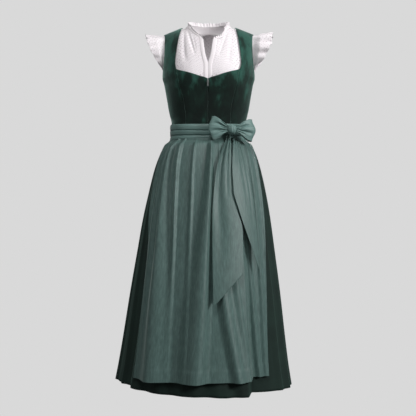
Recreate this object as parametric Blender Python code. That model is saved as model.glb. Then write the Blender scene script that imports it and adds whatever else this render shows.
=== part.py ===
"""Dirndl set, filled out as if worn: a blouse, a dress with a zipped velvet bodice, and an apron.

Metres, +Z up. The front faces -Y, and the wearer's left is +X. The origin lies between the
shoulders, where the set is carried. Body, skirt and apron pieces are sheets worked out on one
form, with a second sheet a wall's thickness inside. Trims get their wall from a Solidify modifier.

Angle t runs round the form in degrees: 0 is the centre front, 90 the wearer's left side and
180 the centre back. Height h is 0 at the bust line, the height in metres below it (negative),
and above it the part of the quarter turn from bust line to shoulder ridge (1 at the ridge).
"""

import math

import bpy
import numpy as np

# Walls and gaps
VELVET = 0.0020
SKIRT_CLOTH = 0.0015
APRON_CLOTH = 0.0012
BLOUSE_CLOTH = 0.0010
SEAM = 0.0003            # gap between two sewn pieces
BLOUSE_OUT = -0.0065     # blouse body inside the bodice
BAND_OUT = 0.0045        # apron band outside the bodice
APRON_OUT = 0.0060       # apron panel outside the skirt form

# Body form
BUST_Z = -0.172
RIDGE_Z = 0.007          # shoulder ridge where the straps' inner edges cross it
RIDGE_X = 0.090
RIDGE_SLOPE = 0.38       # fall of the ridge towards the arm
NECK_SLOPE = 0.20        # rise of the ridge towards the neck
CUP_X, CUP_Z, CUP_OUT, CUP_SIZE = 0.072, -0.178, 0.013, 0.042
WAIST_SEAM = -0.352
BAND_TOP, BAND_DIP, BAND_BOTTOM = -0.327, 0.007, -0.384


def table(columns, *rows):
    """A table as a dictionary: each column's name with an array, one value for each row."""
    return dict(zip(columns.split(), np.array(rows, float).T))


def curve(rows, column, at, key="z"):
    """A smooth cubic through a column's values at `at`, which never swings past a row's value:
    its slope at a row is the harmonic mean of the slopes beside it, or 0 at a turning point."""
    order = np.argsort(rows[key])
    x, y = rows[key][order], rows[column][order]
    rise = np.diff(y) / np.diff(x)
    before, after = rise[:-1], rise[1:]
    same = before * after > 0
    mean = np.where(same, 2 * before * after / np.where(same, before + after, 1.0), 0.0)
    slope = np.concatenate([rise[:1], mean, rise[-1:]])
    i = np.clip(np.searchsorted(x, at) - 1, 0, len(x) - 2)
    step = x[i + 1] - x[i]
    s = np.clip((at - x[i]) / step, 0.0, 1.0)
    ends = (1 + 2 * s) * (1 - s) ** 2 * y[i] + s**2 * (3 - 2 * s) * y[i + 1]
    return ends + step * (s * (1 - s) ** 2 * slope[i] + s**2 * (s - 1) * slope[i + 1])


# Horizontal sections of the bodice form, a row for each height
TORSO = table("z half_width front back",
              (-0.400, 0.1380, 0.103, 0.094),
              (-0.352, 0.1275, 0.096, 0.087),
              (-0.325, 0.1275, 0.095, 0.085),
              (-0.297, 0.1335, 0.097, 0.087),
              (-0.276, 0.1380, 0.100, 0.089),
              (-0.235, 0.1450, 0.107, 0.094),
              (-0.192, 0.1530, 0.115, 0.099),
              (-0.172, 0.1587, 0.118, 0.101))
TORSO_POWER = 2.35
UPPER_WIDEN = 0.006      # growth of the half width from bust line to shoulder

# Horizontal sections of the skirt form; shift is how far the section's middle hangs to +X
SKIRT = table("z half_width front back shift",
              (-0.352, 0.1225, 0.090, 0.081, 0.000),
              (-0.384, 0.1350, 0.099, 0.092, 0.000),
              (-0.400, 0.1480, 0.115, 0.107, -0.001),
              (-0.442, 0.1670, 0.133, 0.125, -0.002),
              (-0.483, 0.1800, 0.146, 0.138, -0.003),
              (-0.566, 0.1990, 0.165, 0.157, -0.004),
              (-0.649, 0.2150, 0.180, 0.172, -0.006),
              (-0.752, 0.2305, 0.194, 0.187, -0.008),
              (-0.897, 0.2520, 0.213, 0.205, -0.011),
              (-1.063, 0.2740, 0.232, 0.222, -0.015),
              (-1.145, 0.2860, 0.242, 0.232, -0.017),
              (-1.220, 0.2990, 0.252, 0.242, -0.0186))
SKIRT_POWER = 2.10
# Levels of the cloth's rows between the waist and the hems
LEVELS = (-0.405, -0.445, -0.515, -0.620, -0.760, -0.920, -1.060)
HEM_Z, HEM_TILT = -1.2075, -0.0352   # hem height at the middle, and its fall for each metre of +X
APRON_HEM_Z = -1.162

# Deep fold edges where the skirt's sides drop back behind its front: depth is at the hem
STEPS = table("angle end depth",
              (29.0, 84.0, 0.066),
              (-51.0, -86.0, 0.034))

STEP_FALL = 0.15         # part of a step's width over which it falls
APRON_DELAY = 3.5        # how much further round the apron's steps lie, in degrees

# Skirt folds: angle at the hem, angle at the waist, half width in degrees, depth at the hem
SKIRT_FOLDS = table("hem waist width depth",
                    (-172.0, -168.0, 9.0, 0.022), (-148.0, -146.0, 8.0, 0.026),
                    (-127.0, -129.0, 9.0, 0.020), (-104.0, -108.0, 8.0, 0.012),
                    (-76.0, -78.0, 7.0, 0.010), (-38.0, -36.0, 9.0, -0.008),
                    (-18.0, -16.0, 8.0, -0.006), (3.0, 2.0, 9.0, -0.009),
                    (20.0, 18.0, 7.0, -0.006), (60.0, 60.0, 7.0, 0.010),
                    (77.0, 79.0, 7.0, 0.010), (103.0, 106.0, 8.0, 0.014),
                    (124.0, 126.0, 9.0, 0.024), (147.0, 148.0, 8.0, 0.020),
                    (168.0, 166.0, 8.0, 0.025))

# Apron folds stand out from the skirt form, so every depth is positive
APRON_FOLDS = table("hem waist width depth",
                    (-39.0, -52.0, 7.5, 0.012), (-27.0, -34.0, 5.5, 0.009),
                    (-12.0, -18.0, 6.5, 0.014), (4.0, -6.0, 6.0, 0.010),
                    (17.0, 10.0, 6.5, 0.012), (26.0, 28.0, 5.0, 0.008),
                    (40.0, 50.0, 6.0, 0.008))

# Angles of the apron's two side edges
APRON_EDGES = table("z right left",
                    (-0.380, -76.0, 76.0), (-0.540, -64.0, 63.0), (-0.610, -60.0, 60.0),
                    (-0.780, -52.0, 54.0), (-0.950, -49.5, 50.0), (-1.220, -47.0, 45.0))


def signed_power(value, power):
    """Keeps the sign of a value and raises its size to a power."""
    return np.sign(value) * np.abs(value) ** power


def ridge_height(x):
    """Height of the shoulder ridge over a place x."""
    beyond = np.abs(x) - RIDGE_X
    return RIDGE_Z - np.where(beyond > 0, RIDGE_SLOPE, NECK_SLOPE) * beyond


def torso_point(t, h, out=0.0):
    """Point of the bodice form at angle t and height h, moved out: a superellipse at each height,
    whose depth closes as a quarter ellipse from the bust line to the shoulder ridge."""
    t, h = np.broadcast_arrays(np.asarray(t, float), np.asarray(h, float))
    turn = np.radians(t)
    over = np.radians(90.0 * np.clip(h, 0.0, 1.0))
    z = BUST_Z + np.minimum(h, 0.0)
    half_width = curve(TORSO, "half_width", z) + UPPER_WIDEN * np.clip(h, 0, 1) + out
    depth = np.where(np.cos(turn) > 0, curve(TORSO, "front", z), curve(TORSO, "back", z)) + out
    x = half_width * signed_power(np.sin(turn), 2 / TORSO_POWER)
    z = z + (ridge_height(x) + out - BUST_Z) * np.sin(over)
    y = -depth * signed_power(np.cos(turn), 2 / TORSO_POWER) * np.cos(over)
    cup = np.exp(-((np.abs(x) - CUP_X) ** 2 + (z - CUP_Z) ** 2) / (2 * CUP_SIZE**2))
    return np.stack([x, y - CUP_OUT * cup * (np.cos(turn) > 0) * np.cos(turn), z], -1)


def torso_angle(x, h):
    """Angle t of the front point that lies at a sideways place x, at height h."""
    z = BUST_Z + np.minimum(h, 0.0)
    half_width = curve(TORSO, "half_width", z) + UPPER_WIDEN * np.clip(h, 0, 1)
    part = np.clip(np.abs(x) / half_width, 0.0, 1.0) ** (TORSO_POWER / 2)
    return np.sign(x) * np.degrees(np.arcsin(part))


def torso_height(x, z):
    """Height h of the point at a place x and a level z."""
    above = np.clip((z - BUST_Z) / (ridge_height(x) - BUST_Z), 0.0, 1.0)
    return np.where(z < BUST_Z, z - BUST_Z, np.degrees(np.arcsin(above)) / 90.0)


def side_steps(t, z, delay):
    """How far the skirt's sides drop back: from each step's angle it falls at once, and eases
    out towards the step's end angle. It grows from nothing at the waist to the hem."""
    grow = np.clip((-0.45 - z) / 0.75, 0.0, 1.0) ** 1.2
    drop = np.zeros(np.broadcast(t, z).shape)
    for angle, end, depth in zip(*STEPS.values()):
        start = angle + math.copysign(delay, angle)
        away = np.clip((t - start) / (end - start), 0.0, 1.0)
        drop = drop + depth * np.clip(away / STEP_FALL, 0, 1) * (1 - away)
    return drop * grow


def skirt_folds(t, z):
    """The skirt's folds, pressed flat where the apron lies on them."""
    around = np.where(t > 180, t - 360, t)
    lift = folds(SKIRT_FOLDS, around, z, WAIST_SEAM)
    lift = lift * np.clip((BAND_BOTTOM - z) / 0.05, 0, 1)
    past = np.maximum(around - curve(APRON_EDGES, "left", z), curve(APRON_EDGES, "right", z) - around)
    return np.where(lift > 0, lift * np.clip((past - 1) / 8, 0, 1), lift)


def folds(rows, t, z, top):
    """Sum of the folds' soft ridges: each is a squared cosine across its width, swings from its
    angle at the waist to that at the hem, and grows downwards from a fifth of its depth."""
    down = np.clip((top - z) / (top - HEM_Z), 0.0, 1.0)
    total = np.zeros(np.broadcast(t, z).shape)
    for hem, waist, width, depth in zip(*rows.values()):
        off = (t - (waist + (hem - waist) * down)) / width
        total = total + depth * (0.2 + 0.8 * down) * np.cos(np.clip(off, -1, 1) * math.pi / 2) ** 2
    return total


def skirt_point(t, z, out=0.0, delay=0.0):
    """Point of the skirt form at angle t and level z: a superellipse whose middle drifts as the
    skirt hangs, less the drop of its side steps, moved out. A delay turns the steps outwards, so
    that an upper layer wraps round the lower one's fold edge."""
    turn = np.radians(t)
    depth = np.where(np.cos(turn) > 0, curve(SKIRT, "front", z), curve(SKIRT, "back", z))
    drop = side_steps(t, z, delay)
    x = (curve(SKIRT, "half_width", z) + out) * signed_power(np.sin(turn), 2 / SKIRT_POWER)
    y = -(depth + out) * signed_power(np.cos(turn), 2 / SKIRT_POWER)
    y = y + drop * (np.cos(turn) > 0)
    return np.stack([x + curve(SKIRT, "shift", z), y, z + 0 * x], -1)


def spread(start, end, count):
    return np.linspace(start, end, count)


def material(name, colour, roughness, metallic=0.0):
    """A Principled material in one colour, given as linear red, green and blue."""
    made = bpy.data.materials.new(name)
    made.use_nodes = True
    shader = made.node_tree.nodes["Principled BSDF"]
    shader.inputs["Base Color"].default_value = (*colour, 1.0)
    shader.inputs["Roughness"].default_value = roughness
    shader.inputs["Metallic"].default_value = metallic
    return made


def mesh_object(name, points, faces, finish):
    mesh = bpy.data.meshes.new(name)
    mesh.from_pydata([tuple(p) for p in points], [], faces)
    mesh.materials.append(finish)
    made = bpy.data.objects.new(name, mesh)
    bpy.context.scene.collection.objects.link(made)
    return made


def sheet_faces(rows, columns):
    """The triangles of a grid of points, rows upwards and columns towards +t. Every cell is cut
    along the same diagonal, so the two sides of a thin wall can't cross."""
    index = np.arange(rows * columns).reshape(rows, columns)
    low, low_next = index[:-1, :-1], index[:-1, 1:]
    high, high_next = index[1:, :-1], index[1:, 1:]
    corners = (low, low_next, high_next, low, high_next, high)
    return np.stack(corners, -1).reshape(-1, 3)


def shell(name, outer, inner, finish):
    """A closed wall of cloth between an outer and an inner grid of points."""
    rows, columns = outer.shape[:2]
    faces = sheet_faces(rows, columns)
    index = np.arange(rows * columns).reshape(rows, columns)
    rim = np.concatenate([index[0, :-1], index[:-1, -1], index[-1, :0:-1], index[:0:-1, 0]])
    following = np.roll(rim, -1)
    inside = rows * columns
    sides = np.stack([rim, rim + inside, following + inside, following], -1)
    faces = np.concatenate([faces, faces[:, ::-1] + inside]).tolist() + sides.tolist()
    points = np.concatenate([outer.reshape(-1, 3), inner.reshape(-1, 3)])
    made = mesh_object(name, points, faces, finish)
    made.data.shade_smooth()
    made.data.set_sharp_from_angle(angle=math.radians(60))
    return made


def cloth(name, grid, finish, wall):
    """A sheet of cloth from a grid of points, with its wall grown inwards by Solidify."""
    rows, columns = grid.shape[:2]
    made = mesh_object(name, grid.reshape(-1, 3), sheet_faces(rows, columns).tolist(), finish)
    thick = made.modifiers.new("wall", "SOLIDIFY")
    thick.thickness = wall
    thick.offset = -1.0
    made.data.shade_smooth()
    return made


def block(name, low, high, finish):
    """A plain rectangular block between two corners."""
    x, y, z = zip(low, high)
    points = [(x[i], y[j], z[k]) for i in (0, 1) for j in (0, 1) for k in (0, 1)]
    faces = [(0, 1, 3, 2), (4, 6, 7, 5), (0, 4, 5, 1), (2, 3, 7, 6), (0, 2, 6, 4), (1, 5, 7, 3)]
    return mesh_object(name, points, faces, finish)


# Seams and edges of the bodice, in places x and levels z on its front
PRINCESS = table("z x", (-0.352, 0.0765), (-0.320, 0.0760), (-0.270, 0.0805), (-0.236, 0.0880),
                 (-0.187, 0.1010), (-0.164, 0.1050))
STRAP_INNER = table("h x", (0.06, 0.1060), (0.16, 0.1110), (0.40, 0.1050), (0.70, 0.0965),
                    (1.00, 0.0900))
NECKLINE = table("x z", (0.0, -0.1870), (0.012, -0.1820), (0.028, -0.1780), (0.062, -0.1670),
                 (0.095, -0.1570), (0.112, -0.1500))
# Outer edge: the side seam up to the armhole, then the armhole's edge over the shoulder
ARMHOLE = table("h angle", (-0.185, 90.0), (-0.012, 90.0), (0.06, 83.0), (0.16, 74.0),
                (0.36, 68.0), (0.62, 66.0), (0.84, 67.0), (1.00, 69.5))
BACK_PRINCESS = table("h angle", (-0.185, 148.0), (-0.10, 146.0), (0.0, 141.0), (0.35, 139.0),
                      (0.45, 140.5), (0.62, 143.0), (1.00, 145.4))
BACK_NECK_H = 0.3323     # height of the back neckline
ZIP_HALF = 0.0022        # half width of the slot that shows the zip
SEAM_ANGLE = 0.2         # angle left open at a lengthwise seam


def princess_angle(h):
    """Angle of the front princess seam at height h; above the neckline it is the strap's edge."""
    low = curve(PRINCESS, "x", BUST_Z + np.minimum(h, 0.0))
    high = curve(STRAP_INNER, "x", h, key="h")
    share = np.clip(h / 0.06, 0.0, 1.0)
    return torso_angle(low + (high - low) * share, h)


def neckline_height(t):
    """Height h of the front neckline at angle t."""
    x = torso_point(np.abs(t), 0.0)[..., 0]
    return torso_height(x, curve(NECKLINE, "z", x, key="x"))


def front_places(rows, columns):
    """The left centre front's angles and heights: zip to princess seam, waist to neckline."""
    across, up = np.meshgrid(spread(0, 1, columns), spread(0, 1, rows))
    bottom = WAIST_SEAM - BUST_Z
    h = bottom + (-0.01 - bottom) * up
    for _ in range(4):
        zip_side = torso_angle(ZIP_HALF, h)
        seam = princess_angle(h) - 2 * SEAM_ANGLE
        t = zip_side + (seam - zip_side) * across
        h = bottom + (neckline_height(t) - bottom) * up
    return t, h


def edge_places(inner, outer, top, lower_rows, upper_rows, columns):
    """Angles and heights between two edges, each an angle at every height h."""
    heights = [spread(WAIST_SEAM - BUST_Z, 0, lower_rows)[:-1], spread(0, top, upper_rows)]
    across, h = np.meshgrid(spread(0, 1, columns), np.concatenate(heights))
    return inner(h) + (outer(h) - inner(h)) * across, h


def walls(places, out, wall):
    """Outer and inner grids of a sheet on the bodice form."""
    return torso_point(*places, out), torso_point(*places, out - wall)


def mirrored(grid):
    """The other side's sheet: turned over at x = 0, its columns reversed to face out again."""
    return (grid * [-1.0, 1.0, 1.0])[:, ::-1]


def both_sides(name, outer, inner, finish):
    """A left piece and the right piece that mirrors it."""
    shell(f"{name}_left", outer, inner, finish)
    shell(f"{name}_right", mirrored(outer), mirrored(inner), finish)


def armhole_angle(h):
    return curve(ARMHOLE, "angle", h, key="h")


def back_seam_angle(h):
    return curve(BACK_PRINCESS, "angle", h, key="h")


def build_bodice(velvet):
    both_sides("bodice_front", *walls(front_places(10, 5), 0.0, VELVET), velvet)
    side = edge_places(princess_angle, lambda h: armhole_angle(h) - SEAM_ANGLE, 0.997, 9, 8, 6)
    both_sides("bodice_side_front", *walls(side, 0.0, VELVET), velvet)
    back_side = edge_places(lambda h: 180 - armhole_angle(h) + SEAM_ANGLE, back_seam_angle,
                            0.997, 9, 7, 5)
    both_sides("bodice_side_back", *walls(back_side, 0.0, VELVET), velvet)
    heights = np.concatenate([spread(WAIST_SEAM - BUST_Z, 0, 9)[:-1],
                              spread(0, BACK_NECK_H, 3)])
    across, h = np.meshgrid(spread(-1, 1, 9), heights)
    reach = 180 - back_seam_angle(h) - SEAM_ANGLE
    shell("bodice_back", *walls((180 + reach * across, h), 0.0, VELVET), velvet)


# The neck seam of the blouse: s runs from the centre back to the slit, tilt is 0 over the
# shoulder ridge and grows forwards
NECK_SEAM = table("s x tilt", (0.0, 0.0, -29.0), (0.25, 0.052, -21.0), (0.50, 0.084, 0.0),
                  (0.75, 0.060, 33.0), (1.0, 0.019, 50.0))
SLIT = table("z x", (-0.30, 0.0008), (-0.1460, 0.0008), (-0.100, 0.0085), (-0.045, 0.0195))
PLACKET_GAP = 0.0009
PLACKET_PART = 0.09       # placket's width as a part of the front's, in angle
BLOUSE_HEM = -0.262
BLOUSE_ARMHOLE_IN = 2.5   # degrees that the blouse's armhole lies inside the bodice's
COLLAR_RISE, COLLAR_LEAN = 0.026, 0.012
COLLAR_CLEAR = 0.0025    # gap between the neck seam and the collar
NECK_MIDDLE = np.array([0.0, -0.012, 0.0])
RUFFLE_RISE = 0.012
RUFFLE_LEAN, RUFFLE_WAVE, RUFFLE_WAVES = 0.004, 0.003, 16


def neck_seam(s, out):
    """Points of the neck seam on the blouse form, s in -1..1: the left half is positive."""
    x = curve(NECK_SEAM, "x", np.abs(s), key="s")
    tilt = curve(NECK_SEAM, "tilt", np.abs(s), key="s")
    h = 1 - np.abs(tilt) / 90
    t = torso_angle(x, h)
    return torso_point(np.where(tilt > 0, t, 180 - t) * np.where(s < 0, -1, 1), h, out)


def neck_height(t, back=False):
    """Height h of the blouse's top edge at angle t from the middle: the neck seam, then the
    shoulder ridge."""
    s = spread(0.5, 0.0, 60) if back else spread(0.5, 1.0, 60)
    x = curve(NECK_SEAM, "x", s, key="s")
    h = 1 - np.abs(curve(NECK_SEAM, "tilt", s, key="s")) / 90
    angle = torso_angle(x, h)
    order = np.argsort(angle)
    return np.interp(t, angle[order], h[order])


def slit_angle(h):
    """Angle of the front opening's edge at height h."""
    z = BUST_Z + np.where(h < 0, h, 0.178 * np.sin(np.radians(90 * np.clip(h, 0, 1))))
    return torso_angle(curve(SLIT, "x", z), h)


def blouse_places(inner, outer, top, rows, across):
    """Angles and heights of a blouse sheet between two edges, from its hem to its top edge."""
    across, up = np.meshgrid(across, spread(0, 1, rows))
    bottom = BLOUSE_HEM - BUST_Z
    h = bottom + (0.5 - bottom) * up
    for _ in range(6):
        t = inner(h) + (outer(h) - inner(h)) * across
        h = bottom + (top(t) - bottom) * up
    return t, h


def blouse_side(h):
    """Angle of the blouse's side seam and armhole, a little inside the bodice's."""
    inside = BLOUSE_ARMHOLE_IN * np.clip(h / 0.1, 0, 1)
    return np.where(h < 0, 89.8, armhole_angle(h) - inside)


TOP_LIMIT = 0.996        # both tops end just short of the shoulder ridge


def front_top(t):
    return np.minimum(neck_height(np.abs(t)), TOP_LIMIT)


def back_top(t):
    return np.minimum(neck_height(180 - np.abs(t), back=True), TOP_LIMIT)


def build_blouse(cotton):
    across = np.concatenate([[0.0, PLACKET_PART / 2], spread(PLACKET_PART, 1, 6)])
    places = blouse_places(slit_angle, blouse_side, front_top, 11, across)
    both_sides("blouse_front", *walls(places, BLOUSE_OUT, BLOUSE_CLOTH), cotton)
    band = [place[:, :3] for place in places]
    above = BLOUSE_OUT + BLOUSE_CLOTH + PLACKET_GAP
    both_sides("blouse_placket", *walls(band, above, BLOUSE_CLOTH), cotton)
    t, h = blouse_places(lambda h: 180 + 0 * h, lambda h: 180 - blouse_side(h), back_top, 10,
                         spread(0, 1, 6))
    t, h = t[:, ::-1], h[:, ::-1]
    t = np.concatenate([t, 360 - t[:, -2::-1]], axis=1)
    h = np.concatenate([h, h[:, -2::-1]], axis=1)
    shell("blouse_back", *walls((t, h), BLOUSE_OUT, BLOUSE_CLOTH), cotton)

    s = spread(-1, 1, 25)
    base = neck_seam(s, BLOUSE_OUT) + [0, 0, COLLAR_CLEAR]
    inward = (NECK_MIDDLE - base) * [1, 1, 0]
    inward = inward / np.linalg.norm(inward, axis=1, keepdims=True)
    rise = spread(0, 1, 2)[:, None, None]
    lean = COLLAR_LEAN * inward + [0, 0, COLLAR_RISE]
    collar = base + lean * rise
    cloth("blouse_collar", collar[:, ::-1], cotton, BLOUSE_CLOTH)
    wave = (RUFFLE_WAVE * np.cos(s * math.pi * RUFFLE_WAVES))[:, None]
    edge = collar[-1] + [0, 0, SEAM]
    top_edge = edge + [0, 0, RUFFLE_RISE] - inward * (RUFFLE_LEAN + wave)
    ruffle = edge + (top_edge - edge) * rise
    cloth("blouse_collar_ruffle", ruffle[:, ::-1], cotton, BLOUSE_CLOTH)


# Flutter sleeves: around is the angle about the armhole, 0 over the shoulder and growing
# forwards; reach is how far the free edge stands out there, on each side
SLEEVE = table("around left right",
               (-128.0, 0.004, 0.004), (-96.0, 0.040, 0.034), (-60.0, 0.054, 0.052),
               (0.0, 0.070, 0.066), (50.0, 0.066, 0.058), (78.0, 0.054, 0.044),
               (102.0, 0.040, 0.020), (128.0, 0.003, 0.003))
ARM_MIDDLE_Z, ARM_HALF_HEIGHT, ARM_HALF_DEPTH = -0.088, 0.066, 0.062
SLEEVE_X = 0.1595
SLEEVE_WAVE, SLEEVE_WAVES = 0.006, 9.0
SLEEVE_END, SLEEVE_FULL = 128.0, 0.07    # last angle each way, and the fullest reach


def sleeve_grid(side, rows, columns):
    """A sleeve: from the armhole's ellipse its sheet stands out sideways by the reach, and waves
    more and more towards its free edge."""
    places = spread(-SLEEVE_END, SLEEVE_END, columns)
    out, around = np.meshgrid(spread(0, 1, rows), places, indexing="ij")
    turn = np.radians(around)
    reach = curve(SLEEVE, side, around, key="around")
    full = out * reach / SLEEVE_FULL
    wave = SLEEVE_WAVE * full * np.sin(turn * SLEEVE_WAVES + 0.7)
    grow = 1 + 0.10 * full + wave / ARM_HALF_HEIGHT
    x = SLEEVE_X + out * reach
    y = -ARM_HALF_DEPTH * np.sin(turn) * grow
    z = ARM_MIDDLE_Z + ARM_HALF_HEIGHT * np.cos(turn) * grow - 0.006 * out**2 * np.cos(turn)
    return np.stack([x, y, z], -1)


def build_sleeves(cotton):
    cloth("sleeve_left", sleeve_grid("left", 4, 17), cotton, BLOUSE_CLOTH)
    cloth("sleeve_right", mirrored(sleeve_grid("right", 4, 17)), cotton, BLOUSE_CLOTH)


def build_skirt(cloth_finish):
    sides = (("skirt_front", -89.85, 89.85, 34), ("skirt_back", 90.15, 269.85, 27))
    for name, start, end, columns in sides:
        rows = (HEM_Z, *LEVELS[::-1], BAND_BOTTOM, WAIST_SEAM - SEAM)
        t, z = np.meshgrid(spread(start, end, columns), rows)
        z[0] += HEM_TILT * skirt_point(t[0], z[0])[..., 0]
        lift = skirt_folds(t, z)
        shell(name, skirt_point(t, z, lift), skirt_point(t, z, lift - SKIRT_CLOTH), cloth_finish)


def apron_places(columns):
    """Angles, levels and fold heights of the apron panel, from under its band to its hem."""
    rows = (APRON_HEM_Z, *LEVELS[::-1], BAND_BOTTOM - SEAM)
    across, z = np.meshgrid(spread(0, 1, columns), rows)
    right = curve(APRON_EDGES, "right", z)
    t = right + (curve(APRON_EDGES, "left", z) - right) * across
    ease = np.clip((BAND_BOTTOM - z) / 0.05, 0, 1)
    return t, z, APRON_OUT + folds(APRON_FOLDS, t, z, BAND_BOTTOM) * (0.25 + 0.75 * ease)


def build_apron(sage):
    t, z, lift = apron_places(35)
    shell("apron_panel", skirt_point(t, z, lift, APRON_DELAY),
          skirt_point(t, z, lift - APRON_CLOTH, APRON_DELAY), sage)
    for name, start, end in (("apron_band", -88.0, 88.0), ("apron_tie_back", 88.3, 271.7)):
        t, up = np.meshgrid(spread(start, end, 23), spread(0, 1, 3))
        top = BAND_TOP - BAND_DIP * np.clip(np.cos(np.radians(t)), 0, 1)
        z = BAND_BOTTOM + (top - BAND_BOTTOM) * up
        out = BAND_OUT + 0.0025 * np.sin(math.pi * up) + 0.004 * (1 - up)
        shell(name, *walls((t, z - BUST_Z), out, APRON_CLOTH), sage)


# The bow: places are (x, y, z) of its knot and of each loop's end
KNOT = np.array([0.0815, -0.1200, -0.3530])
KNOT_HALF = np.array([0.0125, 0.0105, 0.0155])
LOOPS = table("side length end_y top bottom",
              (-1.0, 0.064, -0.128, 0.040, -0.034),
              (1.0, 0.060, -0.094, 0.033, -0.040))
LOOP_HALF_DEPTH = 0.011
# Tails: for each level, the two edges' places x; the end is cut on a slant
TAIL_RIGHT = table("z inner outer out",
                   (-0.3700, 0.0660, 0.0750, 0.027), (-0.4050, 0.0550, 0.0760, 0.0165),
                   (-0.4400, 0.0420, 0.0765, 0.0165), (-0.5000, 0.0275, 0.0780, 0.0165),
                   (-0.5650, 0.0205, 0.0840, 0.0165), (-0.6250, 0.0165, 0.0990, 0.0165),
                   (-0.6900, 0.0162, 0.1137, 0.0165), (-0.9300, 0.0200, 0.1160, 0.0165))
TAIL_LEFT = table("z inner outer out",
                  (-0.3700, 0.0850, 0.0970, 0.034), (-0.4050, 0.0835, 0.1080, 0.022),
                  (-0.4870, 0.0800, 0.1317, 0.021), (-0.5470, 0.0835, 0.1437, 0.021),
                  (-0.6070, 0.0860, 0.1517, 0.021), (-0.6670, 0.0890, 0.1576, 0.021),
                  (-0.7300, 0.0930, 0.1629, 0.021), (-0.8300, 0.1000, 0.1690, 0.021))


def loop_grid(side, length, end_y, top, bottom, rows, columns):
    """A bow loop: the ribbon leaves the knot in front, turns at its end and comes back behind.
    Its depth follows half an ellipse along it, and its height fans out from the knot."""
    up, along = np.meshgrid(spread(0, 1, rows), spread(0, math.pi, columns), indexing="ij")
    far = np.sin(along) ** 0.8
    start = KNOT + [side * (KNOT_HALF[0] + SEAM), 0, 0]
    low = -0.010 + (bottom + 0.010) * far**0.9
    high = 0.010 + (top - 0.010) * far**0.9
    x = start[0] + side * (length * far - 0.006 * far * np.cos(up * 2 * math.pi))
    y = KNOT[1] + (end_y - KNOT[1]) * far
    y = y - np.cos(along) * (0.004 + (LOOP_HALF_DEPTH - 0.004) * np.sin(along) ** 0.5)
    return np.stack([x, y, KNOT[2] + low + (high - low) * up], -1)


def tail_grid(rows_table, end_inner, end_outer, rows, columns):
    """A bow tail lying on the apron: from the knot down to its slanted end."""
    across, down = np.meshgrid(spread(0, 1, columns), spread(1, 0, rows))
    top = rows_table["z"].max()
    z = top + (end_inner + (end_outer - end_inner) * across - top) * down
    inner, outer = curve(rows_table, "inner", z), curve(rows_table, "outer", z)
    x = inner + (outer - inner) * across
    level = np.minimum(z, BAND_BOTTOM + 0.01)
    half_width = curve(SKIRT, "half_width", level)
    part = np.clip(np.abs(x - curve(SKIRT, "shift", level)) / half_width, 0, 0.999)
    front = curve(SKIRT, "front", level) + curve(rows_table, "out", z)
    y = -front * (1 - part**SKIRT_POWER) ** (1 / SKIRT_POWER)
    near_knot = np.clip((z - BAND_BOTTOM) / 0.02, 0, 1)
    return np.stack([x, y - 0.006 * near_knot, z], -1)


def build_bow(sage):
    angle, up = np.meshgrid(spread(0, 2 * math.pi, 13)[:-1], spread(-70, 70, 6))
    rise = np.radians(up)
    ball = KNOT + KNOT_HALF * np.stack([np.sin(angle) * np.cos(rise) ** 0.5,
                                        -np.cos(angle) * np.cos(rise) ** 0.5,
                                        np.sin(rise) / math.sin(math.radians(70))], -1)
    rows, columns = ball.shape[:2]
    index = np.arange(rows * columns).reshape(rows, columns)
    ring = np.concatenate([index, index[:, :1]], axis=1)
    sides = np.stack([ring[:-1, :-1], ring[:-1, 1:], ring[1:, 1:], ring[1:, :-1]], -1)
    faces = sides.reshape(-1, 4).tolist() + [index[0, ::-1].tolist(), index[-1].tolist()]
    mesh_object("bow_knot", ball.reshape(-1, 3), faces, sage)
    for name, row in zip(("bow_loop_right", "bow_loop_left"), zip(*LOOPS.values())):
        grid = loop_grid(*row, 5, 13)
        cloth(name, grid if row[0] > 0 else grid[:, ::-1], sage, APRON_CLOTH)
    cloth("bow_tail_right", tail_grid(TAIL_RIGHT, -0.925, -0.822, 13, 6), sage, APRON_CLOTH)
    cloth("bow_tail_left", tail_grid(TAIL_LEFT, -0.565, -0.817, 11, 5), sage, APRON_CLOTH)


def joined(name, parts, finish):
    """Blocks joined into one closed body by Boolean unions."""
    base = parts[0]
    base.name = base.data.name = name
    for number, other in enumerate(parts[1:]):
        union = base.modifiers.new(f"union_{number}", "BOOLEAN")
        union.operation = "UNION"
        union.object = other
        other.hide_render = True
        other.display_type = "WIRE"
    return base


# Zip fittings
SLIDER_Z = -0.1960
SLIDER_SIZE = (0.0062, 0.0024, 0.0085)
SLIDER_CLEAR = 0.0015    # from the fronts' surface to the slider's back
BAIL_HALF, BAIL_BAR = 0.0007, 0.0008
EYE = 0.0019             # height and depth of the opening inside the bail
PULL_SIZE = (0.0044, 0.0010, 0.0185)
PULL_WINDOW = (0.0026, 0.0045)


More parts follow.
